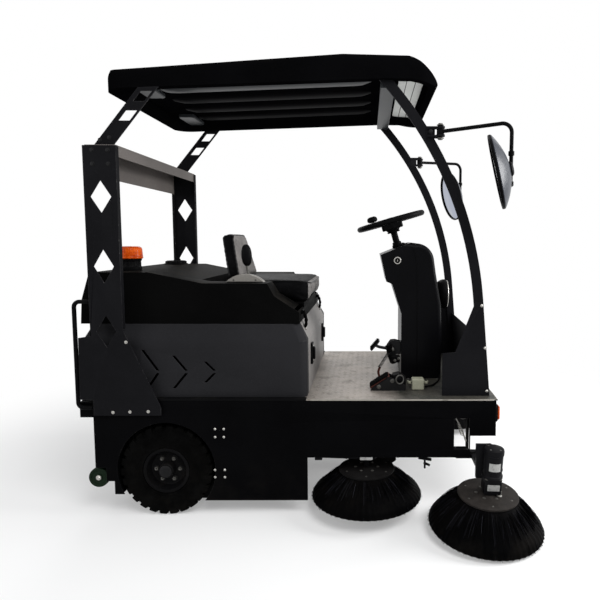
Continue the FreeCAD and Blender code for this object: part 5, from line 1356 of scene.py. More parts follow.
class SWEEPER_OT_steering(bpy.types.Operator):
    """Steering wheel with a spinner knob, boot, key switch, headlight and pedals"""
    bl_idname = "sweeper.steering"
    bl_label = "Steering and pedals"

    def execute(self, context):
        self.wheel()
        self.console()
        self.headlight()
        self.pedals()
        return {"FINISHED"}

    def wheel(self):
        """A rim whose tube swells between finger grips, and flat spokes that dip to the hub."""
        place = steering_place()
        form = Form("black_plastic", "dark_steel", "tyre_rubber")
        rows, cols = 180, 16
        u = np.arange(rows + 1) * TURN / rows
        v = np.arange(cols) * TURN / cols
        tube = 0.0135 + 0.0006 * np.abs(np.cos(24 * u))
        radius = 0.165 + tube[:, None] * np.cos(v)
        grid = joined(radius * np.cos(u)[:, None], radius * np.sin(u)[:, None], tube[:, None] * np.sin(v))
        form.add(moved(grid.reshape(-1, 3), place), quads(rows + 1, cols))
        form.lathe([(0.03, -0.06), (0.034, -0.056), (0.03, -0.05), (0.036, -0.045), (0.036, -0.036),
                    (0.042, -0.034), (0.042, 0.006), (0.036, 0.012), (0.03, 0.0125), (0.028, 0.016),
                    (0.01, 0.019)], place, 40)
        s = np.linspace(0, 1, 12)
        for angle in (90, 210, 330):
            a, out = math.radians(angle), 0.028 + 0.13 * s
            line = moved(joined(math.cos(a) * out, math.sin(a) * out, -0.01 + 0.008 * s ** 2), place)
            waist = 1.15 - 0.45 * s + 0.35 * s ** 4
            form.sweep(line, rounded_plan(0.032, 0.011, 0.005, 3), place[:3, 2], 0, scale=waist)
        # clamp block under the hub, with its two bolts
        form.plate((0.108, 0.08, 0.014), -0.042, -0.01, 0.004, place)
        form.bolts(moved([(0.042, y, -0.01) for y in (-0.024, 0.024)], place), place[:3, 2], 0.005, 1)
        knob = shifted(place, place[:3, :3] @ (-0.088, 0.14, 0.0))
        form.lathe([(0.018, 0.006), (0.018, 0.014), (0.0075, 0.018), (0.0075, 0.022), (0.021, 0.024),
                    (0.0275, 0.03), (0.028, 0.04), (0.024, 0.049), (0.014, 0.054)], knob, 28)
        form.make("steering_wheel_rim", "steering_wheel", ["steering_wheel"], 40)

    def console(self):
        form = Form("black_plastic", "zinc", "console_skin", "dark_steel")
        place = steering_place()
        # ribbed boot where the column leaves the console
        k = np.arange(11)
        boot = joined(0.04 - 0.0016 * k + 0.003 * (k % 2), -0.196 + 0.0075 * k)
        form.lathe(boot, place, 32)
        form.lathe([(0.023, -0.124), (0.023, -0.112), (0.0175, -0.108)], place, 28)
        # key switch: a bezel ring and a barrel on the right-hand side
        key = placed((0.394, -0.1505, 1.112), RIGHT)
        bezel = [(0.0185, -0.004), (0.0185, 0.003), (0.0172, 0.0045), (0.0135, 0.0046), (0.0128, 0.003),
                 (0.004, 0.003)]
        form.lathe(bezel, key, 36, 1)
        form.lathe([(0.0127, 0.002), (0.0127, 0.006), (0.006, 0.0068)], key, 24, 0)
        form.plate((0.0022, 0.011, 0.001, 2), 0.006, 0.009, 0, key, 1)
        # seam between the console's rear and its nose, a gasket standing a little proud
        seam = [(0.494, 0.5205), (0.494, 1.00), (0.488, 1.12), (0.47, 1.178)]
        for side in (-1, 1):
            run = curved_path([(x, side * 0.1502, z) for x, z in seam], 0.06, 8)
            form.sweep(run, ring(0.0022, 8), LEFT, 0)
        # instrument panel on the sloping top: surround, three switches and a gauge
        slope = np.array((0.151, 0, 0.061)) / math.hypot(0.151, 0.061)
        normal = np.array((-slope[2], 0, slope[0]))
        spot = np.array((0.426, 0.0, 1.139 + (0.426 - 0.311) * 0.061 / 0.151)) + normal * 0.0005
        panel = placed(spot, normal, slope)
        form.plate((0.045, 0.22, 0.008), -0.004, 0.004, 0.0015, panel, 0)
        for y in (-0.075, -0.035, 0.035, 0.075):
            form.plate((0.022, 0.015, 0.003), 0.0, 0.008, 0.002, shifted(panel, normal * 0.003 + (0, y, 0)),
                       2)
        form.bolts([(x, y, 0.5207) for x in (0.6, 0.45) for y in (-0.165, 0.165)], UP, 0.006, 3)
        form.make("console_fittings", "chassis", angle=40)

    def headlight(self):
        """A domed glass in a turned bezel: profiles turned about the lamp's own axis."""
        lamp = placed((0.602, 0, 0.933), AHEAD)
        form = Form("black_plastic", "lamp_glass", "zinc")
        form.lathe([(0.05, 0.004), (0.062, 0.01), (0.071, 0.022), (0.0755, 0.036), (0.0755, 0.05),
                    (0.072, 0.056), (0.066, 0.0565), (0.064, 0.052)], lamp, 64, 0)
        s = np.linspace(1, 0.0, 12)[:-1]
        dome = joined(0.065 * s, 0.0525 + 0.011 * (1 - s ** 2))
        form.lathe(np.concatenate(([(0.0655, 0.05)], dome)), lamp, 64, 1)
        form.lathe([(0.0665, 0.051), (0.07, 0.053), (0.0712, 0.0575), (0.069, 0.06), (0.066, 0.058)], lamp,
                   64, 2, True)
        form.make("headlight_lamp", "chassis", ["headlight"], 40)

    def pedals(self):
        """Brake and speed pedals and the pale relay box beside them."""
        form = Form("black_plastic", "black_steel", "tyre_rubber", "rust_pad", "pale_plastic", "dark_steel")
        side = placed((0.385, -0.11, 0.672), RIGHT, AHEAD)
        plan = np.array(((-0.04, -0.032), (0.0295, -0.032), (0.0295, 0.03), (0.000, 0.038), (-0.022, 0.036),
                         (-0.04, 0.01)))
        for depth in (-0.024, 0.018):
            form.block(plan, depth, depth + 0.006, 0.001, side, 1)
        form.block(plan * 0.86, -0.018, 0.018, 0.002, side, 0)
        pivot = placed((0.366, -0.08, 0.668), RIGHT)
        form.lathe([(0.012, 0), (0.012, 0.072), (0.009, 0.076)], pivot, 20, 1)
        form.bolts([(0.366, -0.156, 0.668)], RIGHT, 0.01, 5)
        # its cylinder slopes down behind the arm, with a ribbed sleeve and a reservoir
        sleeve = placed((0.35, -0.15, 0.69), (0.36, 0, -1))
        k = np.arange(10)
        form.lathe(joined(0.0165 + 0.0028 * (k % 2), 0.004 * k), sleeve, 24, 2)
        form.lathe([(0.013, 0.036), (0.021, 0.038), (0.021, 0.088), (0.015, 0.096), (0.006, 0.098)], sleeve,
                   28, 0)
        form.plate((0.046, 0.04, 0.008), 0.0, 0.034, 0.005, placed((0.386, -0.158, 0.64), (0, 0, -1)), 0)
        form.bolts([(0.383, -0.181, 0.618), (0.402, -0.181, 0.628)], RIGHT, 0.005, 5)
        arm = [(0.366, -0.15, 0.668), (0.34, -0.158, 0.676), (0.3, -0.186, 0.688), (0.288, -0.192, 0.698)]
        form.tube(arm, 0.0075, 0.02, 12, 1)
        rake = math.radians(40)
        pad = placed((0.284, -0.192, 0.7), (-math.cos(rake), 0, math.sin(rake)), LEFT)
        form.plate((0.076, 0.062, 0.01), -0.004, 0.003, 0.001, pad, 1)
        form.plate((0.074, 0.06, 0.01), 0.003, 0.007, 0.001, pad, 2)
        for row in np.arange(-0.024, 0.025, 0.008):
            form.plate((0.066, 0.0034, 0.0015, 2), 0.0065, 0.01, 0.0008, shifted(pad, pad[:3, 1] * row), 2)
        # return spring and clevis beside the brake
        coil = spring_line((0.352, -0.172, 0.655), (-0.045, 0, -0.072), 0.008, 11, 90)
        form.sweep(coil, ring(0.0019, 6), (1, 0.2, 0.6), 1)
        form.tube([(0.31, -0.172, 0.585), (0.3, -0.172, 0.56), (0.308, -0.172, 0.53)], 0.006, 0.01, 10, 3)
        form.plate((0.03, 0.024, 0.004), 0.0, 0.012, 0.002, placed((0.308, -0.172, 0.5205), UP), 1)
        # speed treadle
        low, heel, toe = 0.5205, np.array((0.256, 0, 0.536)), np.array((0.345, 0, 0.592))
        slope = (toe - heel) / np.linalg.norm(toe - heel)
        normal = np.array((-slope[2], 0, slope[0]))
        mid = (toe + heel) / 2 + np.array((0, -0.333, 0))
        treadle = placed(mid, normal, slope)
        form.plate((0.104, 0.082, 0.01), -0.01, -0.002, 0.0015, treadle, 3)
        form.plate((0.1, 0.078, 0.01), -0.003, 0.002, 0.001, treadle, 2)
        for row in np.arange(-0.04, 0.041, 0.01):
            rib = shifted(treadle, treadle[:3, 0] * row)
            form.plate((0.004, 0.07, 0.0015, 2), 0.0012, 0.0048, 0.0008, rib, 2)
        cheek = np.array(((-0.098, 0.0), (0.06, 0.0), (0.066, 0.02), (0.03, 0.048), (-0.02, 0.066),
                          (-0.034, 0.056), (-0.092, 0.016)))
        for y in (-0.296, -0.37):
            form.block(cheek, 0.0, 0.004, 0.001, placed((0.36, y, low), RIGHT, AHEAD), 1)
        form.plate((0.062, 0.064, 0.006), 0.002, 0.04, 0.004, placed((0.385, -0.333, low), UP), 0)
        form.bolts([(0.362, -0.3745, 0.566), (0.3, -0.3745, 0.538)], RIGHT, 0.007, 5)
        hub = placed((0.396, -0.377, 0.5735), (0.45, -1, 0.1))
        form.lathe([(0.0165, -0.002), (0.0215, -0.002), (0.0225, 0.001), (0.0205, 0.003), (0.0165, 0.002)],
                   hub, 30, 5, True)
        form.lathe([(0.016, -0.008), (0.016, 0.0), (0.006, 0.003), (0.006, 0.01)], hub, 24, 0)
        housing = np.array(((-0.03, 0.0), (0.05, 0.0), (0.05, 0.056), (0.02, 0.076), (-0.01, 0.07)))
        form.block(housing, 0.006, 0.068, 0.004, placed((0.375, -0.3, low), RIGHT, AHEAD), 0)
        form.plate((0.15, 0.086, 0.006), -0.0002, 0.003, 0.001, placed((0.345, -0.333, low), UP), 1)
        # pale relay box with two ears at the console's foot
        relay = placed((0.482, -0.338, low), UP)
        form.plate((0.056, 0.05, 0.006), 0.0, 0.05, 0.003, relay, 4)
        for x in (-0.038, 0.038):
            ear = [(0.011, -0.006), (0.012, -0.004), (0.012, 0.004), (0.011, 0.006)]
            form.lathe(ear, shifted(relay, (x, 0, 0.032)), 20, 4)
        form.bolts([(0.444, -0.338, 0.5585), (0.52, -0.338, 0.5585)], UP, 0.0045, 1)
        lead = [(0.509, -0.338, 0.528), (0.556, -0.3, 0.526), (0.6, -0.205, 0.526), (0.608, -0.15, 0.54)]
        form.tube(lead, 0.004, 0.02, 10, 0)
        form.make("brake_and_speed_pedals", "chassis", ["pedals"], 35)


# ---------------------------------------------------------------- wheels and rollers

def axle_place(x, y, z, side):
    """Axes of a wheel: Z along the axle, outwards on its own side."""
    return placed((x, y, z), (0, side, 0), AHEAD)


class SWEEPER_OT_wheels(bpy.types.Operator):
    """Treaded tyres on painted rims with lug nuts, and the hopper's small rollers"""
    bl_idname = "sweeper.wheels"
    bl_label = "Wheels"

    def execute(self, context):
        for name, side in (("front_wheel", -1), ("rear_wheel_right", -1), ("rear_wheel_left", 1)):
            low, high = corners_of(name + "_tyre")
            middle, radius, half = (low + high) / 2, (high[0] - low[0]) / 2, (high[1] - low[1]) / 2
            place = axle_place(*middle, side)
            self.tyre(name, place, radius, half)
            self.rim(name, place, 0.052 if name == "front_wheel" else 0.05)
        for name, side in SIDES:
            self.small_roller("hopper_roller_" + name, side)
        return {"FINISHED"}

    def tyre(self, name, place, radius, half):
        """A closed profile turned about the axle, and chevron lugs bent round it, as high as the tread."""
        form = Form("tyre_rubber")
        bead, deep = 0.102, sizes().tread
        crown = radius - deep
        side = np.array([(bead, -0.8), (bead + 0.002, -0.88), (bead + 0.01, -0.905), (bead + 0.014, -0.88),
                         (radius * 0.7, -0.98), (radius * 0.74, -1.0), (radius * 0.86, -0.965),
                         (crown - 0.004, -0.86), (crown, -0.7), (crown + 0.0015, -0.1)]) * (1, half)
        seat = [(bead - 0.0002, 0.5 * half), (bead - 0.0002, -0.5 * half)]
        profile = np.concatenate((mirrored(side), seat))
        form.lathe(profile, place, 96, 0, True)
        count = 26
        step = TURN / count
        # a lug's points (turn, across, radius): its foot, its top drawn in, then its shoulder down the side
        low, sunk, down = crown - 0.001, crown - 0.02, radius - 0.0012
        lug = np.array(((-0.3, 0.05, low), (0.3, 0.05, low), (0.52, 0.52, low),
                        (0.42, 0.955, sunk), (-0.26, 0.955, sunk), (-0.14, 0.52, low),
                        (-0.24, 0.09, radius), (0.24, 0.09, radius), (0.46, 0.52, radius),
                        (0.36, 0.8, down), (-0.2, 0.8, down), (-0.08, 0.52, radius),
                        (0.41, 0.945, radius - 0.0085), (-0.25, 0.945, radius - 0.0085)))
        shape_turn, shape_y, shape_r = lug[:, 0], lug[:, 1] * half, lug[:, 2]
        faces4 = np.array(((0, 1, 7, 6), (1, 2, 8, 7), (5, 0, 6, 11), (2, 3, 12, 8), (4, 5, 11, 13),
                           (3, 4, 13, 12), (12, 13, 10, 9), (6, 7, 8, 11), (11, 8, 9, 10), (0, 5, 2, 1),
                           (5, 4, 3, 2)))
        faces3 = np.array(((8, 12, 9), (11, 10, 13)))
        for hand, shift in ((1, 0.0), (-1, 0.5)):
            t = (np.arange(count)[:, None] + shift) * step + shape_turn * step
            grid = joined(shape_r * np.cos(t), shape_r * np.sin(t), hand * shape_y)
            points = moved(grid.reshape(-1, 3), place)
            offsets = (np.arange(count) * len(shape_r))[:, None, None]
            before = form.count
            form.add(points, (faces4[None] + offsets).reshape(-1, 4))
            form.add_faces(before, (faces3[None] + offsets).reshape(-1, 3))
        form.make(name + "_treaded_tyre", body_of(name + "_tyre"), [name + "_tyre"], 28)

    def rim(self, name, place, hub):
        form = Form("rim_coat", "black_steel", "dark_steel")
        r = 0.1016
        outer = np.array([(0.0122, hub), (0.03, hub), (0.033, hub - 0.003), (0.034, 0.014), (0.05, 0.01),
                          (0.066, 0.01), (0.074, 0.014), (0.084, 0.034), (0.088, 0.041), (0.094, 0.0435),
                          (0.0995, 0.0435), (r, 0.041), (r, 0.036), (r - 0.002, 0.03), (r - 0.006, 0.02)])
        form.lathe(mirrored(outer), place, 72, 0, True)
        spots, axle = round_spots(0.052, 0.01, 6), place[:3, 2]
        both = [facing(moved(spots * (1, 1, way), place), axle * way) for way in (1, -1)]
        nut = [(0, 0), (0.0095, 0), (0.0095, 0.01), (0.008, 0.012), (0.0045, 0.0125), (0.0045, 0.019),
               (0, 0.0195)]
        both = np.concatenate(both)
        form.repeat(turned(nut, 6), both, 2)
        form.repeat(turned([(0, 0), (0.013, 0), (0.013, 0.0018), (0, 0.002)], 18), both, 1)
        if name != "front_wheel":
            cap = [(0.0268, hub - 0.002), (0.0268, hub + 0.003), (0.0235, hub + 0.0052),
                   (0.012, hub + 0.0058)]
            form.lathe(cap, place, 32, 1)
        form.make(name + "_lugged_rim", body_of(name + "_rim"), [name + "_rim"], 35)

    def small_roller(self, node, side):
        low, high = corners_of(node)
        middle, r = (low + high) / 2, (high[0] - low[0]) / 2
        place = axle_place(*middle, side)
        form = Form("roller_urethane", "dark_steel", "zinc")
        outer = np.array([(0.0062, 0.0135), (0.014, 0.0138), (0.016, 0.0085), (r - 0.012, 0.008),
                          (r - 0.009, 0.013), (r - 0.004, 0.014), (r - 0.001, 0.012), (r, 0.0085),
                          (r, 0.003)])
        form.lathe(mirrored(outer), place, 56, 0, True)
        form.bolts(moved([(0, 0, 0.0122)], place), place[:3, 2], 0.0085, 2)
        form.make(node + "_turned", body_of(node), [node], 35)


# ---------------------------------------------------------------- brushes

# height of a disc over its bristles' tips, and the front brushes' radius
MIDDLE_RISE, FRONT_RISE, FRONT_RADIUS = 0.125, 0.14, 0.245


def front_brush_place(side):
    """A front brush's placing: Z turned by the shortest way onto an axis that leans forwards and outwards."""
    lean, tilt = math.tan(math.radians(2.6)), math.tan(math.radians(4.3))
    drop = FRONT_RADIUS * math.sin(math.atan(math.hypot(tilt, lean)))
    turn = Vector(UP).rotation_difference(Vector((lean, side * tilt, 1.0))).to_matrix()
    place = np.eye(4)
    place[:3, :3], place[:3, 3] = np.array(turn), (0.74, side * 0.66, 0.009 + drop)
    return place


class SWEEPER_OT_side_brushes(bpy.types.Operator):
    """Four side brushes: a cast disc, a closed skirt of bristles and loose strands over it"""
    bl_idname = "sweeper.side_brushes"
    bl_label = "Side brushes"

    def execute(self, context):
        for name, side in SIDES:
            low, high = corners_of("middle_brush_" + name)
            place = placed(((low[0] + high[0]) / 2, (low[1] + high[1]) / 2, low[2]), UP)
            self.brush("middle_brush_" + name, place, (high[0] - low[0]) / 2, MIDDLE_RISE)
            self.brush("front_brush_" + name, front_brush_place(side), FRONT_RADIUS, FRONT_RISE)
        return {"FINISHED"}

    def brush(self, node, place, radius, rise):
        disc = 0.125
        # painted shade: the middle brushes, under the skirts, get the darker copy of the disc finish
        form = Form("black_disc" if "middle" in node else "brush_disc", "bristle_black", "zinc", "dark_steel")
        casting = np.array([(0.0102, -0.008), (0.066, -0.008), (0.1, -0.012), (disc - 0.003, -0.008),
                            (disc, -0.004), (disc, 0.0015), (disc - 0.004, 0.003), (disc - 0.01, 0.0022),
                            (disc - 0.016, 0.0028), (0.066, 0.004), (0.06, 0.003), (0.04, 0.0048),
                            (0.034, 0.0088), (0.0102, 0.0088)])
        form.lathe(casting + (0, rise), place, 72, 0, True)
        form.bolts(moved(round_spots(0.05, rise + 0.004, 6), place), place[:3, 2], 0.0052, 3)
        form.bolts(moved(round_spots(0.1, rise + 0.0028, 6, 0.5), place), place[:3, 2], 0.0034, 3, True)
        # closed skirt: its radius is notched by the turn, deeper towards the tips
        slope = np.array([(0.098, rise - 0.015), (disc - 0.003, rise - 0.0085),
                          (disc + 0.001, rise - 0.011),
                          (disc + 0.35 * (radius - disc) - 0.004, rise * 0.66), (radius - 0.022, 0.036),
                          (radius - 0.012, 0.02), (radius - 0.007, 0.008), (radius - 0.01, 0.0015),
                          (radius - 0.034, 0.0015), (radius - 0.05, 0.02), (disc + 0.01, rise * 0.62),
                          (0.102, rise - 0.022)])
        count = 220
        t = np.arange(count) * TURN / count
        closed = np.concatenate((slope, slope[:1]))
        reach = np.clip((closed[:, :1] - disc) / (radius - disc), 0, 1)
        notch = 1 - 0.014 * reach * (0.5 + 0.5 * np.cos(55 * t))
        r = closed[:, :1] * notch
        grid = joined(r * np.cos(t), r * np.sin(t), closed[:, 1:])
        # strand values for the finish's painted glints on the skirt, a little higher where the notches are
        # deepest
        tone = np.broadcast_to(0.3 + 0.12 * np.cos(55 * t), r.shape).ravel()
        form.add(moved(grid.reshape(-1, 3), place), quads(len(closed), count), 1, tone)
        self.strands(form, place, radius, rise, disc)
        form.make(node + "_bristled", body_of(node), [node], 40)

    def strands(self, form, place, radius, rise, disc):
        """Each runs from the disc's rim to the tips: a bent line, thinner at its end, a little aside."""
        rng = np.random.default_rng(7)
        n, k = sizes().strands, 6
        s = np.linspace(0, 1, k)[None]
        a = (np.arange(n) + rng.uniform(-0.4, 0.4, n))[:, None] * TURN / n + rng.normal(0, 0.03, (n, 1)) * s
        layer = rng.uniform(0, 1, (n, 1))
        start_r, start_z = disc - 0.002 - 0.012 * layer, rise - 0.009 - 0.004 * layer
        end_r = radius - 0.003 - 0.014 * rng.uniform(0, 1, (n, 1))
        end_z = 0.003 + 0.01 * rng.uniform(0, 1, (n, 1))
        bulge = 0.004 + 0.008 * rng.uniform(0, 1, (n, 1))
        line_r = start_r + (end_r - start_r) * s + bulge * np.sin(s * math.pi) * 0.62
        line_z = start_z + (end_z - start_z) * s ** 1.06 + bulge * np.sin(s * math.pi) * 0.75 - 0.004 * s
        line_z = np.maximum(line_z, 0.0012)
        centre = joined(line_r * np.cos(a), line_r * np.sin(a), line_z)
        aside = joined(-np.sin(a), np.cos(a), 0.0)
        out = joined(np.cos(a) * 0.62, np.sin(a) * 0.62, 0.78)
        thick = sizes().strand / 2 * (1.0 - 0.55 * s)[..., None]
        corner = np.arange(3) * TURN / 3
        around = aside[:, :, None] * np.cos(corner)[:, None] + out[:, :, None] * np.sin(corner)[:, None]
        tube = centre[:, :, None] + around * thick[..., None]
        points = moved(tube.reshape(-1, 3), place)
        steps = (np.arange(n) * k * 3)[:, None, None]
        side = (quads(k, 3)[None] + steps).reshape(-1, 4)
        # strand values for the finish's painted glints: a few strands paler
        tone = np.repeat(rng.uniform(0.05, 1, n) ** 1.5, k * 3)
        before = form.count
        form.add(points, side, 1, tone)
        for end in ((2, 1, 0), (k * 3 - 3, k * 3 - 2, k * 3 - 1)):
            form.add_faces(before, (np.array(end) + steps).reshape(-1, 3), 1)


class SWEEPER_OT_brush_drives(bpy.types.Operator):
    """Caps, collars, blank plates, bolts and leads of the brush motors"""
    bl_idname = "sweeper.brush_drives"
    bl_label = "Brush drives"

    def execute(self, context):
        rise = FRONT_RISE
        for name, side in SIDES:
            place = front_brush_place(side)
            place[:3, 3] += place[:3, 0] * 0.01
            up = place[:3, 2]
            form = Form("motor_coat", "label_plate", "zinc", "dark_steel", "black_plastic")
            top, waist = rise + 0.195, rise + 0.078
            # the barrel's cap, its band and its flange, each a profile above a height
            cap = ((0.0385, -0.02), (0.0415, -0.018), (0.0415, -0.002), (0.0395, 0.0045), (0.03, 0.0075),
                   (0.012, 0.0085))
            band = ((0.0395, 0.032), (0.0408, 0.033), (0.0408, 0.037), (0.0395, 0.038))
            flange = ((0.0395, -0.0005), (0.043, 0.001), (0.043, 0.01), (0.0398, 0.014))
            for profile, height in ((cap, top), (band, waist), (flange, waist)):
                form.lathe(np.array(profile) + (0, height), place, 48)
            form.lathe([(0.03, rise + 0.007), (0.024, rise + 0.009), (0.024, rise + 0.0135)], place, 28, 2)
            form.bolts(moved(round_spots(0.04, waist, 4, TURN / 8), place), up, 0.0055, 3)
            form.bolts(moved(round_spots(0.028, top + 0.0065, 4, TURN / 8), place), up, 0.0035, 3, True)
            # blank plates: one bent round the barrel, one on the gearbox
            a = side * math.pi / 2 + np.linspace(-0.62, 0.62, 15)
            inner_r, outer_r, bottom, head = 0.0392, 0.0401, waist + 0.0385, waist + 0.072
            edges = np.array([
                joined(r * np.cos(a), r * np.sin(a), z)
                for r, z in ((inner_r, bottom), (inner_r, head), (outer_r, head), (outer_r, bottom))])
            wrap = np.concatenate((edges, edges[:1]))
            form.add(moved(wrap.reshape(-1, 3), place), quads(5, 15, False), 1)
            form.add(moved(edges[:, 0], place), np.arange(4)[None], 1)
            form.add(moved(edges[:, -1], place), np.arange(4)[None, ::-1], 1)
            flat = placed(moved([(0.002, side * 0.0342, rise + 0.044)], place), place[:3, 1] * side,
                          place[:3, 0])
            form.plate((0.05, 0.026, 0.002, 2), -0.0004, 0.0009, 0, flat, 1)
            ahead = placed(moved([(0.0342, 0.0, rise + 0.046)], place), place[:3, 0], place[:3, 1])
            form.plate((0.04, 0.04, 0.004, 2), -0.0004, 0.003, 0.001, ahead, 0)
            # shaft clamp in front of the hub: a lug and two bright bolts
            clamp = [(0.03, side * 0.022, rise + 0.0055), (0.036, -side * 0.012, rise + 0.0055)]
            form.bolts(moved(clamp, place), up, 0.0085, 2)
            # lead from the gland to the hinge
            gland = moved((-0.02, -side * 0.034, top - 0.045), place)
            form.lathe([(0.009, -0.004), (0.009, 0.01), (0.006, 0.016)],
                       placed(gland, -place[:3, 1] * side), 16, 4)
            form.tube([gland, gland - (0, side * 0.02, 0), (0.725, side * 0.586, 0.33),
                       (0.713, side * 0.536, 0.285), (0.69, side * 0.47, 0.272)], 0.0042, 0.03, 10, 4)
            form.bolts([(0.7655, side * 0.59, z) for z in (0.245, 0.345)], AHEAD, 0.007, 3)
            form.bolts([(0.712 + dx, side * 0.545, 0.2685) for dx in (0.012, 0.034)], UP, 0.0065, 3)
            form.make("front_motor_fittings_" + name, "front_arm_" + name, angle=35)
            self.middle_drive(name, side)
        return {"FINISHED"}

    def middle_drive(self, name, side):
        low, high = corners_of("middle_brush_" + name)
        x, y = (low[0] + high[0]) / 2, (low[1] + high[1]) / 2
        plate = low[2] + MIDDLE_RISE + 0.052
        form = Form("motor_coat", "label_plate", "zinc", "dark_steel")
        place = placed((x, y, 0), UP)
        band = ((0.0385, 0.05), (0.0412, 0.052), (0.0412, 0.06), (0.0365, 0.062))
        cap = ((0.0365, 0.15), (0.0395, 0.152), (0.0395, 0.164), (0.03, 0.168))
        for profile in (band, cap):
            form.lathe(np.array(profile) + (0, plate), place, 40)
        blank = placed((x - 0.002, y + side * 0.046, plate + 0.014), (0, side, 0), AHEAD)
        form.plate((0.056, 0.018, 0.003, 2), 0.0, 0.01, 0.001, blank, 1)
        form.bolts(round_spots(0.0425, plate + 0.006, 6, 0, x, y), UP, 0.0032, 2)
        form.bolts([(x - 0.195, y + dy, 0.272) for dy in (-0.024, 0.024)], UP, 0.006, 3)
        form.make("middle_motor_fittings_" + name, "middle_arm_" + name, angle=35)


class SWEEPER_OT_main_roller(bpy.types.Operator):
    """Main roller: a core with V-shaped rows of bristle tufts"""
    bl_idname = "sweeper.main_roller"
    bl_label = "Main roller"

    def execute(self, context):
        """Rows lean with the distance from the middle: turn = row + lean times that distance."""
        low, high = corners_of("main_roller")
        middle, radius = (low + high) / 2, (high[0] - low[0]) / 2
        half = high[1] - 0.022
        place = placed(middle, LEFT, AHEAD)
        form = Form("bristle_black", "black_plastic", "dark_steel")
        core = np.array([(0.0148, half + 0.0215), (0.0148, half + 0.002), (0.06, half),
                         (0.072, half - 0.004)])
        form.lathe(mirrored(core)[::-1], place, 40, 1)
        rows, count = 14, 58
        y = np.linspace(-half + 0.009, half - 0.009, count)
        i, j = np.meshgrid(np.arange(rows), np.arange(count), indexing="ij")
        rng = np.random.default_rng(11)
        a = i.ravel() * TURN / rows + np.abs(y[j.ravel()]) / half * 0.9 + rng.normal(0, 0.012, rows * count)
        y = y[j.ravel()] + rng.normal(0, 0.0008, rows * count)
        # a tuft: four levels of a flat hexagon that widens outwards
        levels = np.array(((0.068, 0.55), (0.105, 0.72), (0.132, 0.95), (radius - 0.0015, 1.12)))
        plan = ring(1.0, 6)
        n = len(a)
        trim = rng.uniform(0, 0.006, n)[:, None, None] * (np.arange(4) == 3)[None, :, None]
        reach = levels[None, :, None, 0] - trim
        across = plan[None, None, :, 0] * levels[None, :, None, 1] * 0.0105
        ahead = plan[None, None, :, 1] * levels[None, :, None, 1] * 0.006
        turn = a[:, None, None] + across / reach
        grid = joined(reach * np.cos(turn), reach * np.sin(turn), y[:, None, None] + ahead)
        points = moved(grid.reshape(-1, 3), place)
        steps = (np.arange(n) * 24)[:, None, None]
        # strand values for the finish's painted glints: some tufts paler
        tone = np.repeat(rng.uniform(0.1, 0.8, n), 24)
        before = form.count
        form.add(points, (quads(4, 6)[None] + steps).reshape(-1, 4), 0, tone)
        for end in (np.arange(5, -1, -1), np.arange(18, 24)):
            form.add_faces(before, (end + steps).reshape(-1, 6))
        form.make("main_roller_tufts", "main_roller", ["main_roller"], 40)
        return {"FINISHED"}


# ---------------------------------------------------------------- mirrors

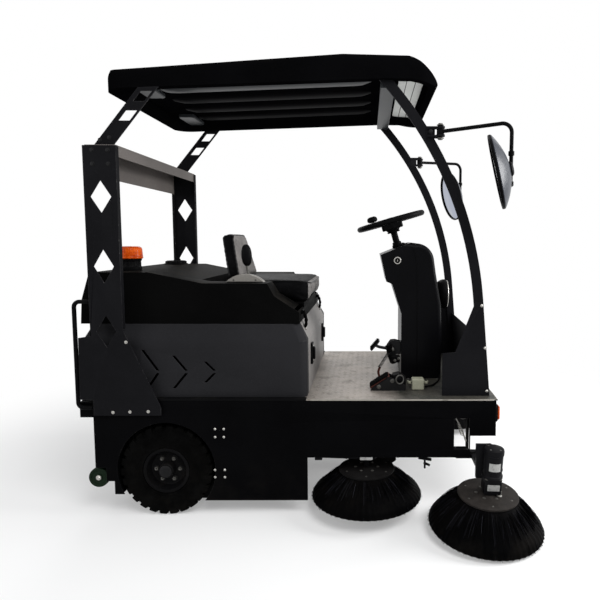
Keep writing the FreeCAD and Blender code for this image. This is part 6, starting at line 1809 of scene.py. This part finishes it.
class SWEEPER_OT_mirrors(bpy.types.Operator):
    """Round convex mirrors in black backs, with their clamps and swivels"""
    bl_idname = "sweeper.mirrors"
    bl_label = "Mirrors"

    def execute(self, context):
        """The glass and the back are shallow domes: height falls with the square of the radius."""
        for name, side in SIDES:
            radius = 0.151
            tilt, heading = math.radians(13), math.radians(12.7) * side
            level = math.cos(tilt)
            look = -np.array((level * math.cos(heading), level * math.sin(heading), math.sin(tilt)))
            centre = np.array((0.773, side * 0.606, 1.487))
            place = placed(centre, look)
            form = Form("mirror_back", "mirror_glass", "black_plastic")
            s = np.linspace(0.0, 1.0, 14)
            back = joined(radius * 0.985 * s, -0.049 + 0.048 * s ** 2)[1:]
            form.lathe(np.concatenate((back, [(radius - 0.002, 0.003)])), place, 72, 0)
            rim = [(radius - 0.004, 0.0015), (radius, 0.002), (radius, 0.0105), (radius - 0.002, 0.013),
                   (radius - 0.006, 0.0135), (radius - 0.009, 0.007)]
            form.lathe(rim, place, 72, 2, True)
            glass = joined(radius * 0.945 * s, 0.006 + 0.003 * (1 - s ** 2))[:0:-1]
            form.lathe(np.concatenate(([(radius * 0.945, 0.0035)], glass)), place, 72, 1)
            # clamp on the back: a socket round the arm's end
            hold = placed(centre - look * 0.049, -look)
            form.lathe([(0.03, -0.006), (0.03, 0.004), (0.024, 0.01), (0.016, 0.012)], hold, 28, 2)
            form.make("mirror_" + name + "_glass_and_back", "mirror_" + name,
                      ["mirror_head_" + name], 40)
            arm = Form("dark_steel", "black_plastic")
            post = np.array((0.556, side * 0.465, 1.672))
            for up in (1, -1):
                arm.bolts([post + (0, 0, up * 0.0265)], (0, 0, up), 0.011, 0)
            place = placed(post - (0, 0, 0.012), UP)
            arm.lathe([(0.0105, 0.0), (0.016, 0.001), (0.016, 0.023), (0.0105, 0.024)], place, 24, 1)
            for z in (1.56, 1.44):
                grip = placed((0.824, side * 0.606, z), UP)
                arm.lathe([(0.0082, -0.01), (0.012, -0.008), (0.012, 0.008), (0.0082, 0.01)], grip, 20, 1)
            arm.make("mirror_" + name + "_swivel", "mirror_" + name, angle=40)
        return {"FINISHED"}


# ---------------------------------------------------------------- panel, registering and the run

PIECES = [SWEEPER_OT_stage, SWEEPER_OT_frame_pieces, SWEEPER_OT_deck, SWEEPER_OT_skirt_fittings,
          SWEEPER_OT_body_fittings, SWEEPER_OT_cage_fittings, SWEEPER_OT_hood_fittings, SWEEPER_OT_seat,
          SWEEPER_OT_steering, SWEEPER_OT_wheels, SWEEPER_OT_side_brushes, SWEEPER_OT_brush_drives,
          SWEEPER_OT_main_roller, SWEEPER_OT_mirrors]


class SWEEPER_PT_panel(bpy.types.Panel):
    """Lists the machine's sizes, colours and pieces"""
    bl_idname = "SWEEPER_PT_panel"
    bl_label = "Sweeping machine"
    bl_space_type = "VIEW_3D"
    bl_region_type = "UI"
    bl_category = "Sweeper"

    def draw(self, context):
        column = self.layout.column()
        for group in (context.scene.sweeper_sizes, context.scene.sweeper_colours):
            for name in type(group).__annotations__:
                column.prop(group, name)
        for piece in PIECES:
            column.operator(piece.bl_idname)


CLASSES = [SweeperColours, SweeperSizes, *PIECES, SWEEPER_PT_panel]


def register():
    for item in CLASSES:
        bpy.utils.register_class(item)
    bpy.types.Scene.sweeper_colours = bpy.props.PointerProperty(type=SweeperColours)
    bpy.types.Scene.sweeper_sizes = bpy.props.PointerProperty(type=SweeperSizes)


def unregister():
    del bpy.types.Scene.sweeper_sizes
    del bpy.types.Scene.sweeper_colours
    for item in reversed(CLASSES):
        bpy.utils.unregister_class(item)


def main():
    register()
    for piece in PIECES:
        group, call = piece.bl_idname.split(".")
        getattr(getattr(bpy.ops, group), call)()
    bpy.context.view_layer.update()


if __name__ == "__main__":
    main()
